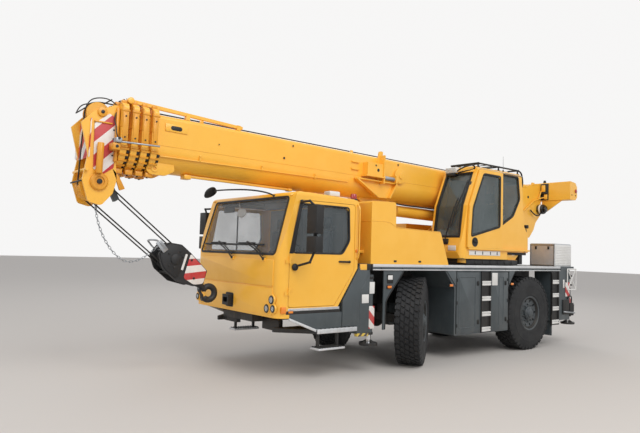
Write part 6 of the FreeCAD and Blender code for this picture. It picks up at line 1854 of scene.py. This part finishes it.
def dressRearRack():
    # The warning board's frame and the valve box ride on the rear left beam's end
    def tubes(points, radius, y=1.266):
        rows = []
        for n in range(len(points) - 1):
            (x, z), (nextX, nextZ) = points[n], points[n + 1]
            rows.append(addTube("rackTube", (x, y, z), (nextX, y, nextZ), radius, 14))
        rows += [addBall("rackJoint", (x, y, z), radius) for x, z in points]
        return rows

    outline = [(-5.09, 1.2), (-5.09, 1.655), (-5.46, 1.655), (-5.46, 1.2), (-5.09, 1.2)]
    rack = tubes(outline, 0.013) + tubes([(-5.1, 1.21), (-5.45, 1.645)], 0.011)
    rack += tubes([(-5.1, 1.645), (-5.45, 1.21)], 0.011)
    holders = [addTube("rackArm", (-5.3, 1.2, z), (-5.3, 1.262, z), 0.016, 16) for z in (1.3, 1.5)]
    box = [addBlock("valveBox", (-5.16, -4.9), (1.252, 1.278), (0.66, 0.98), 0.01),
           addBlock("valveBox", (-5.37, -5.2), (1.236, 1.272), (0.62, 0.9), 0.012),
           addPath("valveHose", [(-5.28, 1.26, 0.9), (-5.28, 1.268, 1.02), (-5.2, 1.268, 1.08), (-5.1, 1.268, 1.0)],
                   0.014)]
    silver = [addTube("boxTube", (-5.36, 1.29, 0.68), (-4.9, 1.29, 0.72), 0.018, 18, 0.004)]
    plate = [addPlate("boardPlate", [(-5.02, 1.05), (-5.2, 1.05), (-5.2, 1.36), (-5.02, 1.36)], "y", 1.254, 1.262,
                      0.01, 0.002)]
    blanks = [addBlock("blankLabel", (-4.99, -4.93), (1.25, 1.2545), (1.24, 1.42), 0.001)]
    rows = [("beamRack", rack, "signWhite", "bare_aluminium"), ("beamRackArms", holders + box, "gasket", "black_steel"),
            ("beamTube", silver, "galvanised", "bare_aluminium"), ("beamBoard", plate, "jackStripes", "yellow_paint")]
    for name, pieces, finish, slot in rows:
        piece = joinPieces(name + "_rear_left", pieces)
        finishPiece(piece, finishes[finish], "outrigger_beam_rear_left")
    finishPiece(joinPieces("cornerBlank", blanks), finishes["signWhite"], "carrier")


def dressTail():
    # Tail lamps, their guards and blank plate on the bar across the rear
    back = -5.4
    red, amber, dark, pale = [], [], [], []
    red += onBothSides(lambda: addBlock("tailLamp", (back - 0.03, back + 0.002), (0.86, 1.02), (0.73, 0.83), 0.012, 3))
    amber += onBothSides(lambda: addBlock("tailLampOuter", (back - 0.03, back + 0.002), (1.03, 1.12), (0.73, 0.83),
                                         0.012, 3))
    pale += onBothSides(lambda: addBlock("tailLampInner", (back - 0.03, back + 0.002), (0.77, 0.85), (0.73, 0.83),
                                        0.012, 3))
    dark += onBothSides(lambda: addFrame("tailFrame", [(0.74, 0.705), (1.15, 0.705), (1.15, 0.855), (0.74, 0.855)],
                                        "x", back - 0.034, back + 0.002, 0.016, 0.01, 0.002))
    pale.append(addBlock("blankPlate", (back - 0.012, back + 0.002), (-0.26, 0.26), (0.735, 0.835), 0.004))
    finishMany([("tailLamps", red, finishes["redLens"], "lamp_plastic"),
                ("tailLampsOuter", amber, finishes["amberLens"], "lamp_plastic"),
                ("tailLampFrames", dark, finishes["gasket"], "black_steel"),
                ("tailBlankPlates", pale, finishes["signWhite"], "lamp_plastic")], "carrier")


dressArmRear()
dressTurntableBase()
dressToolbox()
dressRearRack()
dressTail()
print("rear dressed")


# The driver's cab inside, and the small parts round it

driverCab = {"floor": 0.99, "half": 1.19, "seatX": 1.77, "seatZ": 1.6, "driverY": 0.6, "wheelLean": 38}


def ringProfile(radius, thickness, steps=12):
    turns = [math.tau * n / steps for n in range(steps)]
    return [(radius + thickness * math.cos(turn), thickness * math.sin(turn)) for turn in turns]


def buildSteering():
    y = driverCab["driverY"]
    centre = (2.12, y, 1.84)
    ring = addTurned("steeringRing", ringProfile(0.222, 0.0145), "z", centre, 48)
    pieces = [ring, addTube("steeringHub", (centre[0], y, centre[2] - 0.05), (centre[0], y, centre[2] - 0.006), 0.062,
                            28, 0.01)]
    for turn in (35, 145, 215, 325):
        angle = math.radians(turn)
        end = (centre[0] + 0.218 * math.cos(angle), y + 0.218 * math.sin(angle), centre[2])
        pieces.append(addTube("steeringSpoke", (centre[0], y, centre[2] - 0.028), end, 0.011, 12))
    pieces.append(addTube("steeringColumn", (centre[0], y, centre[2] - 0.34), (centre[0], y, centre[2] - 0.04), 0.03,
                          20))
    pieces.append(addTurned("columnShroud", [(0.0, 0.0), (0.07, 0.0), (0.06, 0.12), (0.045, 0.14), (0.0, 0.14)], "z",
                            (centre[0], y, centre[2] - 0.24), 24))
    for side in (-1, 1):
        pieces.append(addTube("columnStalk", (centre[0], y + side * 0.05, centre[2] - 0.12),
                              (centre[0], y + side * 0.19, centre[2] - 0.09), 0.008, 10))
    return [turnPiece(piece, driverCab["wheelLean"], "Y", centre) for piece in pieces]


def dressDriverInside():
    floor, half, y = driverCab["floor"], driverCab["half"], driverCab["driverY"]
    trim = []
    for name, side in (("driverSeat", y), ("mateSeat", -y)):
        trim += addSeat(name, (driverCab["seatX"], side, driverCab["seatZ"]), 0.46, "carrier")
    shell = [addPlate("dashBody", [(2.56, floor), (2.56, 1.75), (2.3, 1.78), (2.21, 1.67), (2.33, 1.22),
                                   (2.33, floor)], "y", -1.14, 1.14, 0.03, 0.012),
             addPlate("instrumentHood", [(2.42, 1.76), (2.29, 1.845), (2.2, 1.84), (2.19, 1.7), (2.3, 1.7)], "y",
                      y - 0.26, y + 0.26, 0.03, 0.01),
             addPlate("tunnel", [(1.36, 1.5), (1.72, floor), (2.33, floor), (2.33, 1.36), (1.95, 1.5), (1.36, 1.58)],
                      "y", -0.27, 0.27, 0.05, 0.015),
             addBlock("tunnelTray", (1.7, 2.1), (-0.2, 0.2), (1.46, 1.55), 0.025, 4),
             addBlock("floorMat", (1.78, 2.34), (-half, half), (floor - 0.008, floor + 0.006)),
             addPlate("rearShelf", [(1.285, 1.62), (1.42, 1.5), (1.46, 1.56), (1.3, 1.7)], "y", -half, half, 0.01)]
    for side in (y, -y):
        shell += [addBlock("seatPedestal", (1.64, 1.92), (side - 0.16, side + 0.16), (floor, 1.38), 0.02, 3),
                  addBlock("seatBellows", (1.62, 1.94), (side - 0.18, side + 0.18), (1.32, 1.47), 0.03, 4),
                  addPath("seatBelt", [(1.35, side + 0.24, 2.28), (1.5, side + 0.17, 2.1), (1.62, side + 0.02, 1.86),
                                       (1.72, side - 0.2, 1.66)], 0.011)]
    shell += buildSteering()
    shell += [addTube("gearStick", (2.02, 0.08, 1.54), (2.0, 0.1, 1.72), 0.009, 12),
              addBall("gearKnob", (2.0, 0.1, 1.735), 0.028, (1, 1, 1.15), 20),
              addBlock("radioPanel", (2.205, 2.225), (-0.14, 0.14), (1.56, 1.7), 0.008),
              addBlock("screenVisor", (2.3, 2.318), (0.25, 1.02), (2.5, 2.6), 0.008),
              addBlock("screenVisor", (2.3, 2.318), (-1.05, -0.7), (2.5, 2.6), 0.008),
              addBlock("overheadConsole", (2.16, 2.36), (-1.05, 1.05), (2.6, 2.655), 0.02, 3)]
    for dy in (-0.16, 0.02, 0.16):
        shell.append(addPlate("pedal", [(2.29, floor + 0.05), (2.2, floor + 0.15), (2.215, floor + 0.165),
                                        (2.305, floor + 0.07)], "y", y + dy - 0.04, y + dy + 0.04, 0, 0.004))
    for n in range(7):
        shell.append(addBlock("airVent", (2.2, 2.216), (-1.04 + n * 0.04, -1.018 + n * 0.04), (1.67, 1.73), 0.004))
    cabin = joinPieces("driverCabInside", shell + trim)
    finishPiece(cabin, finishes["cabTrim"], "carrier")
    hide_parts("cab_interior")
    dials = [addTube("dial", (2.187, y + dy, 1.772), (2.191, y + dy, 1.772), 0.042, 28) for dy in (-0.11, 0.0, 0.11)]
    lining = [addBlock("rearLining", (1.288, 1.3), (-1.1, 1.1), (1.72, 2.6), 0.004),
              addBlock("roofLining", (1.34, 2.3), (-1.08, 1.08), (2.62, 2.632), 0.004)]
    for n in range(4):
        lining.append(addBlock("liningRib", (1.296, 1.308), (-0.92 + n * 0.55, -0.66 + n * 0.55), (1.8, 2.5), 0.006))
    innerMirror = [addTurned("innerMirrorShell", [(0.0, 0.0), (0.07, 0.0), (0.078, 0.012), (0.06, 0.03), (0.0, 0.036)],
                             "x", (2.35, -0.374, 2.478), 32),
                   addTube("innerMirrorArm", (2.38, -0.39, 2.53), (2.4, -0.41, 2.66), 0.008, 12)]
    innerMirror[0].data.transform(Matrix.Translation((0, -0.374, 2.478)) @ Matrix.Diagonal((1, 1.9, 1, 1))
                                  @ Matrix.Translation((0, 0.374, -2.478)))
    finishMany([("driverDials", dials, finishes["lampGlass"], "cab_trim"),
                ("driverLining", lining, finishes["lining"], "cab_trim"),
                ("driverInnerMirror", innerMirror, finishes["signWhite"], "cab_trim")], "carrier")


def dressHood():
    side, front = 1.25, 0.95
    ridge, dark, knobs = [], [], []
    ridge += onBothSides(lambda: addPath("hoodCrease", [(0.945, side, 2.395), (0.64, side, 2.398), (0.52, side, 2.385),
                                                       (0.43, side, 2.34), (0.38, side, 2.316), (-0.1, side, 2.3),
                                                       (-0.72, side, 2.288)], 0.006, 2))
    ridge.append(addTube("hoodCrease", (front, -1.24, 2.395), (front, 1.24, 2.395), 0.006, 10))
    for x in (0.4, -0.2):
        dark += onBothSides(lambda: addBlock("hoodCatch", (x - 0.03, x + 0.03), (side - 0.002, side + 0.012),
                                            (1.745, 1.775), 0.005))
    for n in range(9):
        x = -0.62 + n * 0.1
        for y in (-0.62, 0.62):
            slat = addBlock("hoodLouvre", (x - 0.03, x + 0.03), (y - 0.36, y + 0.36), (2.292, 2.306), 0.004)
            dark.append(turnPiece(slat, -12, "Y", (x, 0, 2.3)))
    for y in (1.03, -1.03):
        knobs.append(addBlock("hoodStop", (front - 0.002, front + 0.02), (y - 0.05, y + 0.05), (1.87, 1.93), 0.008))
        knobs.append(addTube("hoodKnob", (front + 0.01, y, 1.9), (front + 0.05, y, 1.9), 0.026, 20, 0.006))
    finishMany([("hoodCreases", ridge + knobs, finishes["yellowPaint"], "yellow_paint"),
                ("hoodFittings", dark, finishes["gasket"], "black_steel")], "carrier")


dressDriverInside()
dressHood()
print("driver's cab inside dressed")
